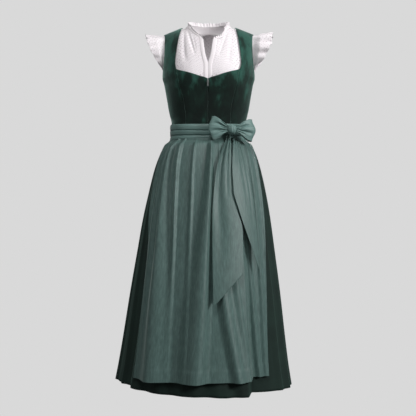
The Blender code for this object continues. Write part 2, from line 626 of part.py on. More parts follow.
def build_zip(metal, tape):
    """The tape with its closed teeth behind the fronts, the slider with its bail, and the pull,
    whose cross bar lies in the bail."""
    h = spread(WAIST_SEAM - BUST_Z, -0.024, 9)
    x = np.array([-0.0075, -0.0018, 0.0018, 0.0075])
    place, height = np.meshgrid(x, h)
    grid = torso_point(torso_angle(place, height), height, -VELVET - SEAM - 0.0002)
    cloth("zip_tape", grid, tape, 0.0010)

    surface = torso_point(0.0, SLIDER_Z - BUST_Z)[1]
    width, deep, tall = SLIDER_SIZE
    front = surface - SLIDER_CLEAR - deep
    body = block("body", (-width / 2, front, SLIDER_Z - tall / 2),
                 (width / 2, front + deep, SLIDER_Z + tall / 2), metal)
    axis_z = SLIDER_Z + 0.0010
    axis_y = front - EYE / 2
    reach = axis_y - EYE / 2 - BAIL_BAR
    legs = [block(f"bail_{name}", (-BAIL_HALF, reach, axis_z + low),
                  (BAIL_HALF, front + 0.0005, axis_z + high), metal)
            for name, low, high in (("top", EYE / 2, EYE / 2 + BAIL_BAR),
                                    ("low", -EYE / 2 - BAIL_BAR, -EYE / 2))]
    bar = block("bail_bar", (-BAIL_HALF, reach, axis_z - EYE / 2 - 0.0002),
                (BAIL_HALF, reach + BAIL_BAR, axis_z + EYE / 2 + 0.0002), metal)
    joined("zip_slider", [body, *legs, bar], metal)

    axis = bpy.data.objects.new("zip_pull_axis", None)
    axis.location = (0.0, axis_y, axis_z)
    bpy.context.scene.collection.objects.link(axis)
    wide, thick, long = PULL_SIZE
    window_wide, window_long = PULL_WINDOW
    plate = block("plate", (-wide / 2, -thick / 2, thick / 2 - long), (wide / 2, thick / 2, thick / 2),
                  metal)
    hole = block("window", (-window_wide / 2, -thick, -thick / 2 - window_long),
                 (window_wide / 2, thick, -thick / 2), metal)
    hole.hide_render = True
    hole.display_type = "WIRE"
    cut = plate.modifiers.new("window", "BOOLEAN")
    cut.operation = "DIFFERENCE"
    cut.object = hole
    plate.name = plate.data.name = "zip_pull"
    plate.parent = hole.parent = axis


def main():
    for old in list(bpy.data.objects):
        bpy.data.objects.remove(old)
    velvet = material("cotton_velvet", (0.006, 0.030, 0.024), 0.85)
    skirt = material("skirt_cloth", (0.010, 0.030, 0.024), 0.80)
    sage = material("sage_satin_linen", (0.075, 0.135, 0.115), 0.60)
    cotton = material("white_eyelet_cotton", (0.82, 0.79, 0.81), 0.85)
    metal = material("zip_metal", (0.55, 0.56, 0.56), 0.30, 1.0)
    tape = material("zip_tape_cloth", (0.004, 0.014, 0.011), 0.80)
    build_blouse(cotton)
    build_sleeves(cotton)
    build_bodice(velvet)
    build_zip(metal, tape)
    build_skirt(skirt)
    build_apron(sage)
    build_bow(sage)


main()
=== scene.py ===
"""The dirndl set's looks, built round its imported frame: fine sheets of cloth on the same body form,
with their folds, seams and creases, the bow, the zip's teeth, and each fabric's own finish.

Metres, +Z up. The front faces -Y and the wearer's left is +X. Angle t runs round the form in
degrees: 0 is the centre front, 90 the wearer's left side, 180 the centre back. Height h is 0 at
the bust line, metres below it (negative), and above it the part of the quarter turn from the bust
line to the shoulder ridge.
"""

import math

import bpy
import numpy as np
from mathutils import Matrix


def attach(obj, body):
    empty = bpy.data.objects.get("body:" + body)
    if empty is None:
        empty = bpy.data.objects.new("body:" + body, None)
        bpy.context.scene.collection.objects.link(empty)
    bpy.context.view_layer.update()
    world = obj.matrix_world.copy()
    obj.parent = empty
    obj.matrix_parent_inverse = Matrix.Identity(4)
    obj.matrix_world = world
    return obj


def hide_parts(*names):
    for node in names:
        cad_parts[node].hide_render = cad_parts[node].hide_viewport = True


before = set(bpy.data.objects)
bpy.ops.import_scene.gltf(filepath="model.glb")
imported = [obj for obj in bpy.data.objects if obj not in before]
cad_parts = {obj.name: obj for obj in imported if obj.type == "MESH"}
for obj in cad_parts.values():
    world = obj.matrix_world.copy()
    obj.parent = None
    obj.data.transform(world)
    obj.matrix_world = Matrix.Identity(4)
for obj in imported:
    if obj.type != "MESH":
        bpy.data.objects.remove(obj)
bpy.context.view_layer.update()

# Walls of the cloths, as the frame has them
VELVET = 0.0020
SKIRT_CLOTH = 0.0015
APRON_CLOTH = 0.0012
BLOUSE_CLOTH = 0.0010

# How far the blouse and the band lie out from the bodice form, and the apron from the skirt form
BLOUSE_OUT = -0.0065
BAND_OUT = 0.0010
APRON_OUT = 0.0060

# Levels of the bust line, the shoulder ridge with its slopes, the bust's cups, and the waist
BUST_Z = -0.172
RIDGE_Z = 0.007
RIDGE_X = 0.090
RIDGE_SLOPE = 0.38
NECK_SLOPE = 0.20
CUP_X, CUP_Z, CUP_OUT, CUP_SIZE = 0.072, -0.178, 0.013, 0.042
WAIST_SEAM = -0.352
BAND_TOP, BAND_DIP, BAND_BOTTOM = -0.327, 0.007, -0.384


def table(columns, *rows):
    """A table as a dictionary: each column's name with an array, one value for each row."""
    return dict(zip(columns.split(), np.array(rows, float).T))


def curve(rows, column, at, key="z"):
    """A smooth cubic through a column's values at `at`, which never swings past a row's value:
    its slope at a row is the harmonic mean of the slopes beside it, or 0 at a turning point."""
    order = np.argsort(rows[key])
    x, y = rows[key][order], rows[column][order]
    rise = np.diff(y) / np.diff(x)
    before, after = rise[:-1], rise[1:]
    same = before * after > 0
    mean = np.where(same, 2 * before * after / np.where(same, before + after, 1.0), 0.0)
    slope = np.concatenate([rise[:1], mean, rise[-1:]])
    i = np.clip(np.searchsorted(x, at) - 1, 0, len(x) - 2)
    step = x[i + 1] - x[i]
    s = np.clip((at - x[i]) / step, 0.0, 1.0)
    ends = (1 + 2 * s) * (1 - s) ** 2 * y[i] + s**2 * (3 - 2 * s) * y[i + 1]
    return ends + step * (s * (1 - s) ** 2 * slope[i] + s**2 * (s - 1) * slope[i + 1])


# The bodice form at each level: half its width, and its depth in front and behind
TORSO = table(
    "z half_width front back",
    (-0.400, 0.1380, 0.103, 0.094),
    (-0.352, 0.1275, 0.096, 0.087),
    (-0.325, 0.1275, 0.095, 0.085),
    (-0.297, 0.1335, 0.097, 0.087),
    (-0.276, 0.1380, 0.100, 0.089),
    (-0.235, 0.1450, 0.107, 0.094),
    (-0.192, 0.1530, 0.1163, 0.0998),
    (-0.172, 0.1587, 0.118, 0.101))
TORSO_POWER = 2.35       # how square its outline is: 2 would be an ellipse
UPPER_WIDEN = 0.006      # how much half its width grows from the bust line to the ridge

# The skirt form in the same way, with the shift of its middle as it hangs
SKIRT = table(
    "z half_width front back shift",
    (-0.352, 0.1225, 0.090, 0.081, 0.000),
    (-0.384, 0.1310, 0.0965, 0.0895, 0.000),
    (-0.400, 0.1480, 0.115, 0.107, -0.001),
    (-0.442, 0.1670, 0.133, 0.125, -0.002),
    (-0.483, 0.1800, 0.146, 0.138, -0.003),
    (-0.566, 0.1990, 0.165, 0.157, -0.004),
    (-0.649, 0.2150, 0.180, 0.172, -0.006),
    (-0.752, 0.2305, 0.194, 0.187, -0.008),
    (-0.897, 0.2520, 0.213, 0.205, -0.011),
    (-1.063, 0.2740, 0.232, 0.222, -0.015),
    (-1.145, 0.2860, 0.242, 0.232, -0.017),
    (-1.220, 0.2990, 0.252, 0.242, -0.0186))
SKIRT_POWER = 2.10
HEM_Z, HEM_TILT = -1.2075, -0.0352
APRON_HEM_Z = -1.162

# Deep fold edges where the skirt's sides drop back behind its front, in degrees and metres
STEPS = table(
    "angle end depth",
    (29.0, 84.0, 0.066),
    (-51.0, -86.0, 0.034))
STEP_FALL = 0.055        # share of a step's width over which it falls
APRON_DELAY = 1.2        # degrees further round that the apron drops back


def signed_power(value, power):
    """Keeps the sign of a value and raises its size to a power."""
    return np.sign(value) * np.abs(value) ** power


def smooth(value):
    """Eases from 0 to 1 as the value goes from 0 to 1."""
    part = np.clip(value, 0.0, 1.0)
    return part * part * (3 - 2 * part)


def ridge_height(x):
    """Height of the shoulder ridge over a place x."""
    beyond = np.abs(x) - RIDGE_X
    return RIDGE_Z - np.where(beyond > 0, RIDGE_SLOPE, NECK_SLOPE) * beyond


def torso_point(t, h, out=0.0):
    """Point of the bodice form at angle t and height h, moved out: a superellipse at each height,
    whose depth closes as a quarter ellipse from the bust line to the shoulder ridge."""
    t, h, out = np.broadcast_arrays(np.asarray(t, float), np.asarray(h, float), out)
    turn = np.radians(t)
    over = np.radians(90.0 * np.clip(h, 0.0, 1.0))
    z = BUST_Z + np.minimum(h, 0.0)
    half_width = curve(TORSO, "half_width", z) + UPPER_WIDEN * np.clip(h, 0, 1) + out
    depth = np.where(np.cos(turn) > 0, curve(TORSO, "front", z), curve(TORSO, "back", z)) + out
    x = half_width * signed_power(np.sin(turn), 2 / TORSO_POWER)
    z = z + (ridge_height(x) + out - BUST_Z) * np.sin(over)
    y = -depth * signed_power(np.cos(turn), 2 / TORSO_POWER) * np.cos(over)
    cup = np.exp(-((np.abs(x) - CUP_X) ** 2 + (z - CUP_Z) ** 2) / (2 * CUP_SIZE**2))
    return np.stack([x, y - CUP_OUT * cup * (np.cos(turn) > 0) * np.cos(turn), z], -1)


def torso_angle(x, h):
    """Angle t of the front point that lies at a sideways place x, at height h."""
    z = BUST_Z + np.minimum(h, 0.0)
    half_width = curve(TORSO, "half_width", z) + UPPER_WIDEN * np.clip(h, 0, 1)
    part = np.clip(np.abs(x) / half_width, 0.0, 1.0) ** (TORSO_POWER / 2)
    return np.sign(x) * np.degrees(np.arcsin(part))


def torso_height(x, z):
    """Height h of the point at a place x and a level z."""
    above = np.clip((z - BUST_Z) / (ridge_height(x) - BUST_Z), 0.0, 1.0)
    return np.where(z < BUST_Z, z - BUST_Z, np.degrees(np.arcsin(above)) / 90.0)


def side_steps(t, z, delay):
    """How far the skirt's sides drop back: from each step's angle it falls at once, and eases
    out towards the step's end angle. It grows from nothing at the waist to the hem."""
    grow = np.clip((-0.45 - z) / 0.75, 0.0, 1.0) ** 1.2
    drop = np.zeros(np.broadcast(t, z).shape)
    for angle, end, depth in zip(*STEPS.values()):
        start = angle + math.copysign(delay, angle)
        away = np.clip((t - start) / (end - start), 0.0, 1.0)
        drop = drop + depth * smooth(away / STEP_FALL) * (1 - away)
    return drop * grow


def skirt_point(t, z, out=0.0, delay=0.0):
    """Point of the skirt form at angle t and level z: a superellipse whose middle drifts as the
    skirt hangs, less the drop of its side steps, moved out."""
    turn = np.radians(t)
    depth = np.where(np.cos(turn) > 0, curve(SKIRT, "front", z), curve(SKIRT, "back", z))
    drop = side_steps(t, z, delay)
    x = (curve(SKIRT, "half_width", z) + out) * signed_power(np.sin(turn), 2 / SKIRT_POWER)
    y = -(depth + out) * signed_power(np.cos(turn), 2 / SKIRT_POWER)
    y = y + drop * (np.cos(turn) > 0)
    return np.stack([x + curve(SKIRT, "shift", z), y, z + 0 * x], -1)


def spread(start, end, count):
    return np.linspace(start, end, count)


# ---------------------------------------------------------------- materials

def linear(hex_colour):
    """An sRGB hex colour as linear red, green, blue and alpha."""
    parts = [int(hex_colour[i : i + 2], 16) / 255 for i in (1, 3, 5)]
    return (*[c / 12.92 if c <= 0.04045 else ((c + 0.055) / 1.055) ** 2.4 for c in parts], 1.0)


def add(tree, kind, settings=None, inputs=None, links=None):
    """Adds a node, sets its properties and its unlinked inputs, and links its other inputs."""
    node = tree.nodes.new(kind)
    for key, value in (settings or {}).items():
        setattr(node, key, value)
    for key, value in (inputs or {}).items():
        node.inputs[key].default_value = value
    for key, source in (links or {}).items():
        tree.links.new(source, node.inputs[key])
    return node


def principled(name, **values):
    """A new material with these values on its Principled shader, and its tree."""
    made = bpy.data.materials.new(name)
    made.use_nodes = True
    shader = made.node_tree.nodes["Principled BSDF"]
    for key, value in values.items():
        shader.inputs[key.replace("_", " ")].default_value = value
    return made, made.node_tree


def linked(made, **sockets):
    """Links each source to the material's shader, and gives the material back."""
    shader = made.node_tree.nodes["Principled BSDF"]
    for key, source in sockets.items():
        made.node_tree.links.new(source, shader.inputs[key.replace("_", " ")])
    return made


def noise(tree, vector, **inputs):
    """A noise texture's value over a vector."""
    return add(tree, "ShaderNodeTexNoise", inputs=inputs, links={"Vector": vector}).outputs["Fac"]


def ribs(tree, vector, direction, **inputs):
    """A wave texture's value over a vector, its bands running in one direction."""
    settings = {"bands_direction": direction}
    return add(tree, "ShaderNodeTexWave", settings, inputs, {"Vector": vector}).outputs["Fac"]


def object_place(tree):
    """The place on the piece in metres, by its own axes."""
    return add(tree, "ShaderNodeTexCoord").outputs["Object"]


def ramp(tree, source, stops):
    """A colour ramp over a value, with stops given as (place, hex colour)."""
    node = add(tree, "ShaderNodeValToRGB", links={"Fac": source})
    bands = node.color_ramp.elements
    while len(bands) < len(stops):
        bands.new(0.5)
    for band, (place, colour) in zip(bands, stops):
        band.position = place
        band.color = linear(colour)
    return node.outputs["Color"]


def cloth_uv(tree, scale, turn=0.0):
    """The piece's own cloth coordinates in metres, multiplied by a scale for each direction and
    turned."""
    uv = add(tree, "ShaderNodeUVMap", {"uv_map": "cloth"})
    turned = add(tree, "ShaderNodeMapping", links={"Vector": uv.outputs["UV"]})
    turned.inputs["Scale"].default_value = scale
    turned.inputs["Rotation"].default_value = (0.0, 0.0, turn)
    return turned.outputs["Vector"]


def bump(tree, height, strength, distance, under=None):
    """A bump's normal from a height, on top of another bump's normal if one is given."""
    links = {"Height": height}
    if under is not None:
        links["Normal"] = under
    node = add(tree, "ShaderNodeBump", inputs={"Strength": strength, "Distance": distance}, links=links)
    return node.outputs["Normal"]


def mixed(tree, kind, factor, first, second):
    """Mixes two colours by a factor, each a socket or a value."""
    node = add(tree, "ShaderNodeMix", {"data_type": "RGBA", "blend_type": kind})
    for socket, value in zip((node.inputs[0], node.inputs[6], node.inputs[7]),
                             (factor, first, second)):
        if isinstance(value, (float, tuple)):
            socket.default_value = value
        else:
            tree.links.new(value, socket)
    return node.outputs[2]


def cotton_velvet():
    """Cotton velvet, woven and cut to a short pile: nearly black where it is seen along the
    pile, and bright green-grey at its turning edges, with soft patches where the pile lies
    another way. Its colour is painted lighter towards the top, over the bust and the straps, as
    painted light from above, and darker low on the bodice, as painted shade."""
    made, tree = principled("cotton_velvet", Roughness=0.85, Sheen_Weight=0.8,
                            Sheen_Roughness=0.42, Sheen_Tint=linear("#c2ebe0"),
                            Specular_IOR_Level=0.15)
    place = object_place(tree)
    stretched = add(tree, "ShaderNodeMapping", links={"Vector": place})
    stretched.inputs["Scale"].default_value = (1.0, 1.0, 0.45)
    nap = noise(tree, stretched.outputs["Vector"], Scale=34.0, Detail=3.0, Roughness=0.55)
    height = add(tree, "ShaderNodeSeparateXYZ", links={"Vector": place}).outputs["Z"]
    # Painted light and shade: by height on the piece the colour is lifted over the bust and the straps
    # and lowered below the bust
    painted_top_light = add(tree, "ShaderNodeMapRange", {"interpolation_type": "SMOOTHSTEP"},
                  {"From Min": -0.290, "From Max": -0.130, "To Min": -0.12, "To Max": 0.15},
                  {"Value": height})
    lie = add(tree, "ShaderNodeMath", {"operation": "ADD"},
              links={0: nap, 1: painted_top_light.outputs["Result"]})
    shades = ramp(tree, lie.outputs["Value"], [(0.34, "#06100d"), (0.54, "#0c1f19"), (0.74, "#254b41")])
    pile = bump(tree, noise(tree, place, Scale=900.0, Detail=2.0), 0.35, 0.0006)
    return linked(made, Base_Color=shades, Normal=bump(tree, nap, 0.30, 0.004, pile))


def skirt_twill():
    """Dark green cotton twill, densely woven and pressed: matt, with a faint bloom at its
    turning folds and a fine diagonal rib."""
    made, tree = principled("skirt_twill", Roughness=0.78, Sheen_Weight=0.20, Sheen_Roughness=0.5,
                            Sheen_Tint=linear("#8fb5aa"), Specular_IOR_Level=0.25)
    uv = cloth_uv(tree, (1.0, 1.0, 1.0))
    patches = noise(tree, uv, Scale=14.0, Detail=4.0)
    rib = ribs(tree, uv, "DIAGONAL", Scale=130.0, Distortion=0.6, Detail=1.0)
    return linked(made, Base_Color=ramp(tree, patches, [(0.3, "#0d1c18"), (0.7, "#132620")]),
                  Normal=bump(tree, rib, 0.25, 0.0006))


# The darkest, middle and lightest threads of the sage cloth: single in the panel and the bow's
# tails, and for the doubled band, knot and loops the same threads painted lighter, as painted light
SAGE_SINGLE = ((0.30, "#3c5350"), (0.50, "#475f5b"), (0.70, "#526c68"))
SAGE_PAINTED_LIGHTER = ((0.28, "#546f6b"), (0.50, "#5d7975"), (0.72, "#66837f"))


def sage_satin(name, shades):
    """Sage satin-linen, its thicker slub threads running along the length: a soft silky sheen,
    with fine uneven lines lighter and darker than the ground."""
    made, tree = principled(name, Roughness=0.52, Sheen_Weight=0.35, Sheen_Roughness=0.4,
                            Sheen_Tint=linear("#c4dad4"), Specular_IOR_Level=0.45)
    slub = noise(tree, cloth_uv(tree, (210.0, 34.0, 1.0)), Scale=1.0, Detail=3.0, Roughness=0.65)
    broad = noise(tree, cloth_uv(tree, (48.0, 11.0, 1.0)), Scale=1.0, Detail=2.0)
    fine = ramp(tree, slub, shades)
    wide = ramp(tree, broad, [(0.30, "#e4e6e5"), (0.70, "#ffffff")])
    weft = ribs(tree, cloth_uv(tree, (1.0, 1.0, 1.0)), "Y", Scale=260.0, Distortion=1.0)
    normal = bump(tree, slub, 0.15, 0.0006, bump(tree, weft, 0.10, 0.0004))
    return linked(made, Base_Color=mixed(tree, "MULTIPLY", 0.6, fine, wide), Normal=normal)


EYELET_SPACING = 0.0095
EYELET_TURN = 38         # degrees that the rows of eyelets run across the cloth
# A little light goes into the white cotton and comes out near by, evenly in all colours
WHITE_DEPTH = {"Subsurface_Weight": 0.15, "Subsurface_Scale": 0.003,
               "Subsurface_Radius": (1.0, 1.0, 1.0)}


def eyelet_cotton():
    """White cotton with worked eyelets in staggered rows: matt, with small holes in raised rings,
    and a faint lilac tint. The holes are drawn, not cut, in a painted shade of grey-lilac for the
    shaded inside seen through them; they are 2.4 mm wide, a little coarser than real ones, so
    that they show."""
    made, tree = principled("eyelet_cotton", Roughness=0.80, Sheen_Weight=0.15, **WHITE_DEPTH)
    rows = 1 / EYELET_SPACING
    uv = cloth_uv(tree, (rows, rows, 1.0), math.radians(EYELET_TURN))
    cells = add(tree, "ShaderNodeTexVoronoi", {"feature": "F1", "voronoi_dimensions": "2D"},
                {"Scale": 1.0, "Randomness": 0.35}, {"Vector": uv})
    far = cells.outputs["Distance"]
    # Painted shade: each drawn hole is darkened to grey-lilac, as the shade seen through a real eyelet
    painted_hole_shade = ramp(tree, far, [(0.0, "#aca2a6"), (0.13, "#b3a9ad"), (0.19, "#ffffff"), (1.0, "#ffffff")])
    thread = noise(tree, uv, Scale=3.0, Detail=5.0)
    ground = ramp(tree, thread, [(0.3, "#e0d9dd"), (0.7, "#f0ebee")])
    ring = ramp(tree, far, [(0.0, "#000000"), (0.11, "#101010"), (0.17, "#ffffff"), (0.25, "#ffffff"),
                            (0.34, "#606060"), (1.0, "#606060")])
    normal = bump(tree, thread, 0.20, 0.0008, bump(tree, ring, 0.45, 0.0010))
    return linked(made, Base_Color=mixed(tree, "MULTIPLY", 0.85, ground, painted_hole_shade), Normal=normal)


def plain_cotton():
    """The same white cotton without eyelets, folded double for bands: smooth, and a shade
    darker."""
    made, tree = principled("plain_cotton", Roughness=0.78, Sheen_Weight=0.15, **WHITE_DEPTH)
    thread = noise(tree, cloth_uv(tree, (900.0, 900.0, 1.0)), Scale=1.0, Detail=2.0)
    return linked(made, Base_Color=ramp(tree, thread, [(0.3, "#ded7da"), (0.7, "#eae5e8")]),
                  Normal=bump(tree, thread, 0.25, 0.0006))


def zip_tape_cloth():
    """Polyester zip tape, woven narrow: dull, nearly black green with a fine rib."""
    made, tree = principled("zip_tape_cloth", Roughness=0.75)
    rib = ribs(tree, object_place(tree), "X", Scale=500.0)
    return linked(made, Base_Color=ramp(tree, rib, [(0.2, "#0a1210"), (0.8, "#14221e")]),
                  Normal=bump(tree, rib, 0.3, 0.0003))


def zip_teeth_resin():
    """Moulded polyester zip teeth, dyed to match the tape: dark green with a dull shine."""
    made, tree = principled("zip_teeth_resin", Roughness=0.42)
    wear = noise(tree, object_place(tree), Scale=300.0)
    return linked(made, Base_Color=ramp(tree, wear, [(0.3, "#101c19"), (0.7, "#21322d")]))


def nickel_zinc():
    """Die-cast zinc with nickel plating: bright, with a faint uneven polish."""
    made, tree = principled("nickel_zinc", Metallic=1.0)
    polish = noise(tree, object_place(tree), Scale=700.0, Detail=2.0)
    worn = add(tree, "ShaderNodeMapRange", inputs={"To Min": 0.20, "To Max": 0.38},
               links={"Value": polish})
    return linked(made, Base_Color=ramp(tree, polish, [(0.3, "#a9adad"), (0.7, "#c6c9c9")]),
                  Roughness=worn.outputs["Result"])


# ---------------------------------------------------------------- making cloth

# How finely each sheet is made: its points across (or round) and its points up (or along)
GRIDS = {"velvet_front": (46, 84), "velvet_side": (42, 62), "velvet_strap": 64,
         "velvet_back": (66, 80), "eyelet_front": (84, 104), "placket": (16, 100),
         "eyelet_back": (62, 80), "collar": (480, 14), "flutter": (320, 28), "twill": (320, 66),
         "apron": (350, 90), "band": (150, 64), "loop": (116, 56), "wrap": (97, 50),
         "tail": (50, 150), "sweep": (73, 60)}


def placed(name, data):
    """A new object with this data, in the scene."""
    made = bpy.data.objects.new(name, data)
    bpy.context.scene.collection.objects.link(made)
    return made


def new_mesh(name, points, faces, finish):
    """A mesh of four-sided faces in one finish."""
    mesh = bpy.data.meshes.new(name)
    mesh.from_pydata(points.reshape(-1, 3).tolist(), [], faces.reshape(-1, 4).tolist())
    mesh.materials.append(finish)
    return mesh


def grid_faces(grid):
    """The faces between the points of a grid of rows and columns."""
    index = np.arange(grid.shape[0] * grid.shape[1]).reshape(grid.shape[:2])
    return np.stack([index[:-1, :-1], index[:-1, 1:], index[1:, 1:], index[1:, :-1]], -1)


def cloth_lengths(grid):
    """Lengths in metres along the middle row and the middle column, for the cloth's own map."""
    middle = grid[grid.shape[0] // 2]
    column = grid[:, grid.shape[1] // 2]
    across = np.concatenate([[0], np.cumsum(np.linalg.norm(np.diff(middle, axis=0), axis=1))])
    along = np.concatenate([[0], np.cumsum(np.linalg.norm(np.diff(column, axis=0), axis=1))])
    return across, along


def cloth(name, grid, finish, wall, node, turned=False):
    """A sheet of cloth from a grid of points (rows upwards, columns towards +t) with its wall
    grown inwards, in place of a node. Its own map holds the lengths across and along it in
    metres, changed round if the cloth is turned."""
    faces = grid_faces(grid)
    mesh = new_mesh(name, grid, faces, finish)
    u, v = np.meshgrid(*cloth_lengths(grid))
    flat = np.stack([v, u] if turned else [u, v], -1).reshape(-1, 2)
    layer = mesh.uv_layers.new(name="cloth")
    layer.data.foreach_set("uv", flat[faces.reshape(-1)].astype(np.float32).reshape(-1))
    mesh.shade_smooth()
    made = placed(name, mesh)
    if wall:
        thick = made.modifiers.new("wall", "SOLIDIFY")
        thick.thickness = wall
        thick.offset = -1.0
    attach(made, "garment")
    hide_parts(node)
    return made


def sided(grid, side):
    """The left side's sheet as it is, or for the right turned over at x = 0, with its columns
    reversed to face out again."""
    return grid if side == "left" else (grid * [-1.0, 1.0, 1.0])[:, ::-1]


def pleat(off, steep):
    """A fold's outline over its half width: a squared cosine that is gentle on its right side and
    falls `steep` times as fast on its left side (or the other way round when steep is negative)."""
    stretch = np.where(off * np.sign(steep) > 0, off * np.abs(steep), off)
    return np.cos(np.clip(stretch, -1, 1) * math.pi / 2) ** 2


def drape(rows, t, z):
    """Sum of hanging folds. Each swings through its angles at the waist, at half height and at the
    hem, and its half width and depth run evenly from waist to hem."""
    levels = np.array([BAND_BOTTOM, -0.72, HEM_Z])
    down = np.clip((BAND_BOTTOM - z) / (BAND_BOTTOM - HEM_Z), 0.0, 1.0)
    total = np.zeros(np.broadcast(t, z).shape)
    for waist, middle, hem, top_width, width, top_depth, depth, steep in zip(*rows.values()):
        path = {"z": levels, "angle": np.array([waist, middle, hem])}
        half = top_width + (width - top_width) * smooth(down * 1.25)
        off = (t - curve(path, "angle", z)) / half
        total = total + (top_depth + (depth - top_depth) * down**0.8) * pleat(off, steep)
    return total


def crease(u, v, start, end, width, depth):
    """A soft trough along the line from start to end in the sheet's own places (u, v): a bell
    across the line, tapered towards both ends."""
    a, b = np.array(start, float), np.array(end, float)
    run = b - a
    along = np.clip(((u - a[0]) * run[0] + (v - a[1]) * run[1]) / (run @ run), 0, 1)
    away = np.hypot(u - a[0] - run[0] * along, v - a[1] - run[1] * along)
    return depth * np.exp(-((away / width) ** 2)) * np.sin(math.pi * np.clip(along, 0.06, 0.94)) ** 0.6


def creases(rows, x, z, lean=0.0):
    """Sum of a table's creases at the places (x, z); lean shifts each, its far end twice as far."""
    return sum(crease(x, z, (x0 + lean, z0), (x1 + 2 * lean, z1 + lean), width, depth)
               for x0, z0, x1, z1, width, depth in zip(*rows.values()))


# ---------------------------------------------------------------- bodice

# Seams and edges of the bodice: the place x across at each level or height, or the angle there
PRINCESS = table(
    "z x", (-0.352, 0.0765), (-0.320, 0.0760), (-0.270, 0.0805), (-0.236, 0.0880),
    (-0.187, 0.1010), (-0.164, 0.1050))
STRAP_INNER = table(
    "h x", (0.06, 0.1060), (0.16, 0.1110), (0.40, 0.1050), (0.70, 0.0965),
    (1.00, 0.0900))
NECKLINE = table(
    "x z", (0.0, -0.1870), (0.012, -0.1820), (0.028, -0.1780), (0.062, -0.1670),
    (0.095, -0.1570), (0.112, -0.1500))
ARMHOLE = table(
    "h angle", (-0.185, 90.0), (-0.012, 90.0), (0.06, 83.0), (0.16, 74.0),
    (0.36, 68.0), (0.62, 66.0), (0.84, 67.0), (1.00, 69.5))
BACK_PRINCESS = table(
    "h angle", (-0.185, 148.0), (-0.10, 146.0), (0.0, 141.0), (0.35, 139.0),
    (0.45, 140.5), (0.62, 143.0), (1.00, 145.4))
BACK_NECK_H = 0.3323
ZIP_HALF = 0.0010        # half the gap that the zip closes
SEAM_ANGLE = 0.10        # degrees that each panel stops short of its seam
EDGE_ROLL = 0.0016       # how far a panel's edge turns in
EDGE_REACH = 0.0040      # width of the turned edge

# Creases of the velvet in places (x, z): long soft pulls from the bust and towards the bow
VELVET_CREASES = table(
    "x0 z0 x1 z1 width depth",
    (0.034, -0.318, 0.066, -0.296, 0.0050, 0.0028),
    (0.050, -0.300, 0.090, -0.262, 0.0090, 0.0016),
    (-0.030, -0.312, -0.078, -0.290, 0.0080, 0.0014),
    (-0.098, -0.318, -0.126, -0.306, 0.0060, 0.0016),
    (-0.060, -0.214, -0.020, -0.250, 0.0120, 0.0012),
    (0.104, -0.300, 0.128, -0.288, 0.0070, 0.0016),
    (0.020, -0.205, 0.060, -0.240, 0.0120, 0.0012),
    (-0.118, -0.200, -0.150, -0.186, 0.0070, 0.0014),
    (0.120, -0.206, 0.150, -0.188, 0.0070, 0.0014))


def princess_angle(h):
    """Angle of the front princess seam at height h; above the neckline it is the strap's edge."""
    low = curve(PRINCESS, "x", BUST_Z + np.minimum(h, 0.0))
    high = curve(STRAP_INNER, "x", h, key="h")
    return torso_angle(low + (high - low) * np.clip(h / 0.06, 0.0, 1.0), h)


def neckline_height(t):
    """Height h of the front neckline at angle t."""
    x = torso_point(np.abs(t), 0.0)[..., 0]
    return torso_height(x, curve(NECKLINE, "z", x, key="x"))


def armhole_angle(h):
    return curve(ARMHOLE, "angle", h, key="h")


def back_seam_angle(h):
    return curve(BACK_PRINCESS, "angle", h, key="h")


def edge_roll(grid):
    """How far each point turns in: a quarter-round drop within reach of the sheet's edges."""
    across = np.linalg.norm(np.diff(grid, axis=1, prepend=grid[:, :1]), axis=2).cumsum(axis=1)
    up = np.linalg.norm(np.diff(grid, axis=0, prepend=grid[:1]), axis=2).cumsum(axis=0)
    near = np.minimum(np.minimum(across, across[:, -1:] - across), np.minimum(up[-1:] - up, 1.0))
    return EDGE_ROLL * (1 - np.sqrt(np.clip(1 - (1 - np.clip(near / EDGE_REACH, 0, 1)) ** 2, 0, 1)))


def edged(count, first=0.0, last=1.0, tight=0.06):
    """Places from first to last, packed closer near both ends so that turned edges stay round."""
    s = spread(0, 1, count)
    eased = s - (1 - tight) * np.sin(2 * math.pi * s) / (2 * math.pi)
    return first + (last - first) * eased


def bodice_sheet(part, t, h, velvet, side=None):
    """One bodice panel from its angles and heights, with turned edges and the velvet's creases,
    which lie differently on the two sides."""
    plain = torso_point(t, h)
    x = plain[..., 0] * (-1 if side == "right" else 1)
    grid = torso_point(t, h, -edge_roll(plain) - creases(VELVET_CREASES, x, plain[..., 2]))
    name = f"{part}_{side}" if side else part
    cloth(f"velvet_{name}", sided(grid, side or "left"), velvet, VELVET, f"bodice_{name}")


def build_bodice(velvet):
    bottom = WAIST_SEAM - BUST_Z
    across, up = np.meshgrid(*map(edged, GRIDS["velvet_front"]))
    h = bottom + (-0.01 - bottom) * up
    for _ in range(5):
        inner, outer = torso_angle(ZIP_HALF, h), princess_angle(h) - SEAM_ANGLE
        t = inner + (outer - inner) * across
        h = bottom + (neckline_height(t) - bottom) * up
    panels = [("front", t, h)]
    columns, rows = GRIDS["velvet_side"]
    heights = [spread(bottom, 0, rows)[:-1], edged(GRIDS["velvet_strap"], 0, 0.998)]
    across, h = np.meshgrid(edged(columns), np.concatenate(heights))
    inner, outer = princess_angle(h), armhole_angle(h) - SEAM_ANGLE
    panels.append(("side_front", inner + (outer - inner) * across, h))
    inner, outer = 180 - armhole_angle(h) + SEAM_ANGLE, back_seam_angle(h)
    panels.append(("side_back", inner + (outer - inner) * across, h))
    for part, t, h in panels:
        for side in ("left", "right"):
            bodice_sheet(part, t, h, velvet, side)
    columns, rows = GRIDS["velvet_back"]
    across, h = np.meshgrid(edged(columns, -1, 1), edged(rows, bottom, BACK_NECK_H))
    t = 180 + (180 - back_seam_angle(h) - SEAM_ANGLE) * across
    bodice_sheet("back", t, h, velvet)


# ---------------------------------------------------------------- blouse

NECK_COLUMNS = "s x tilt"
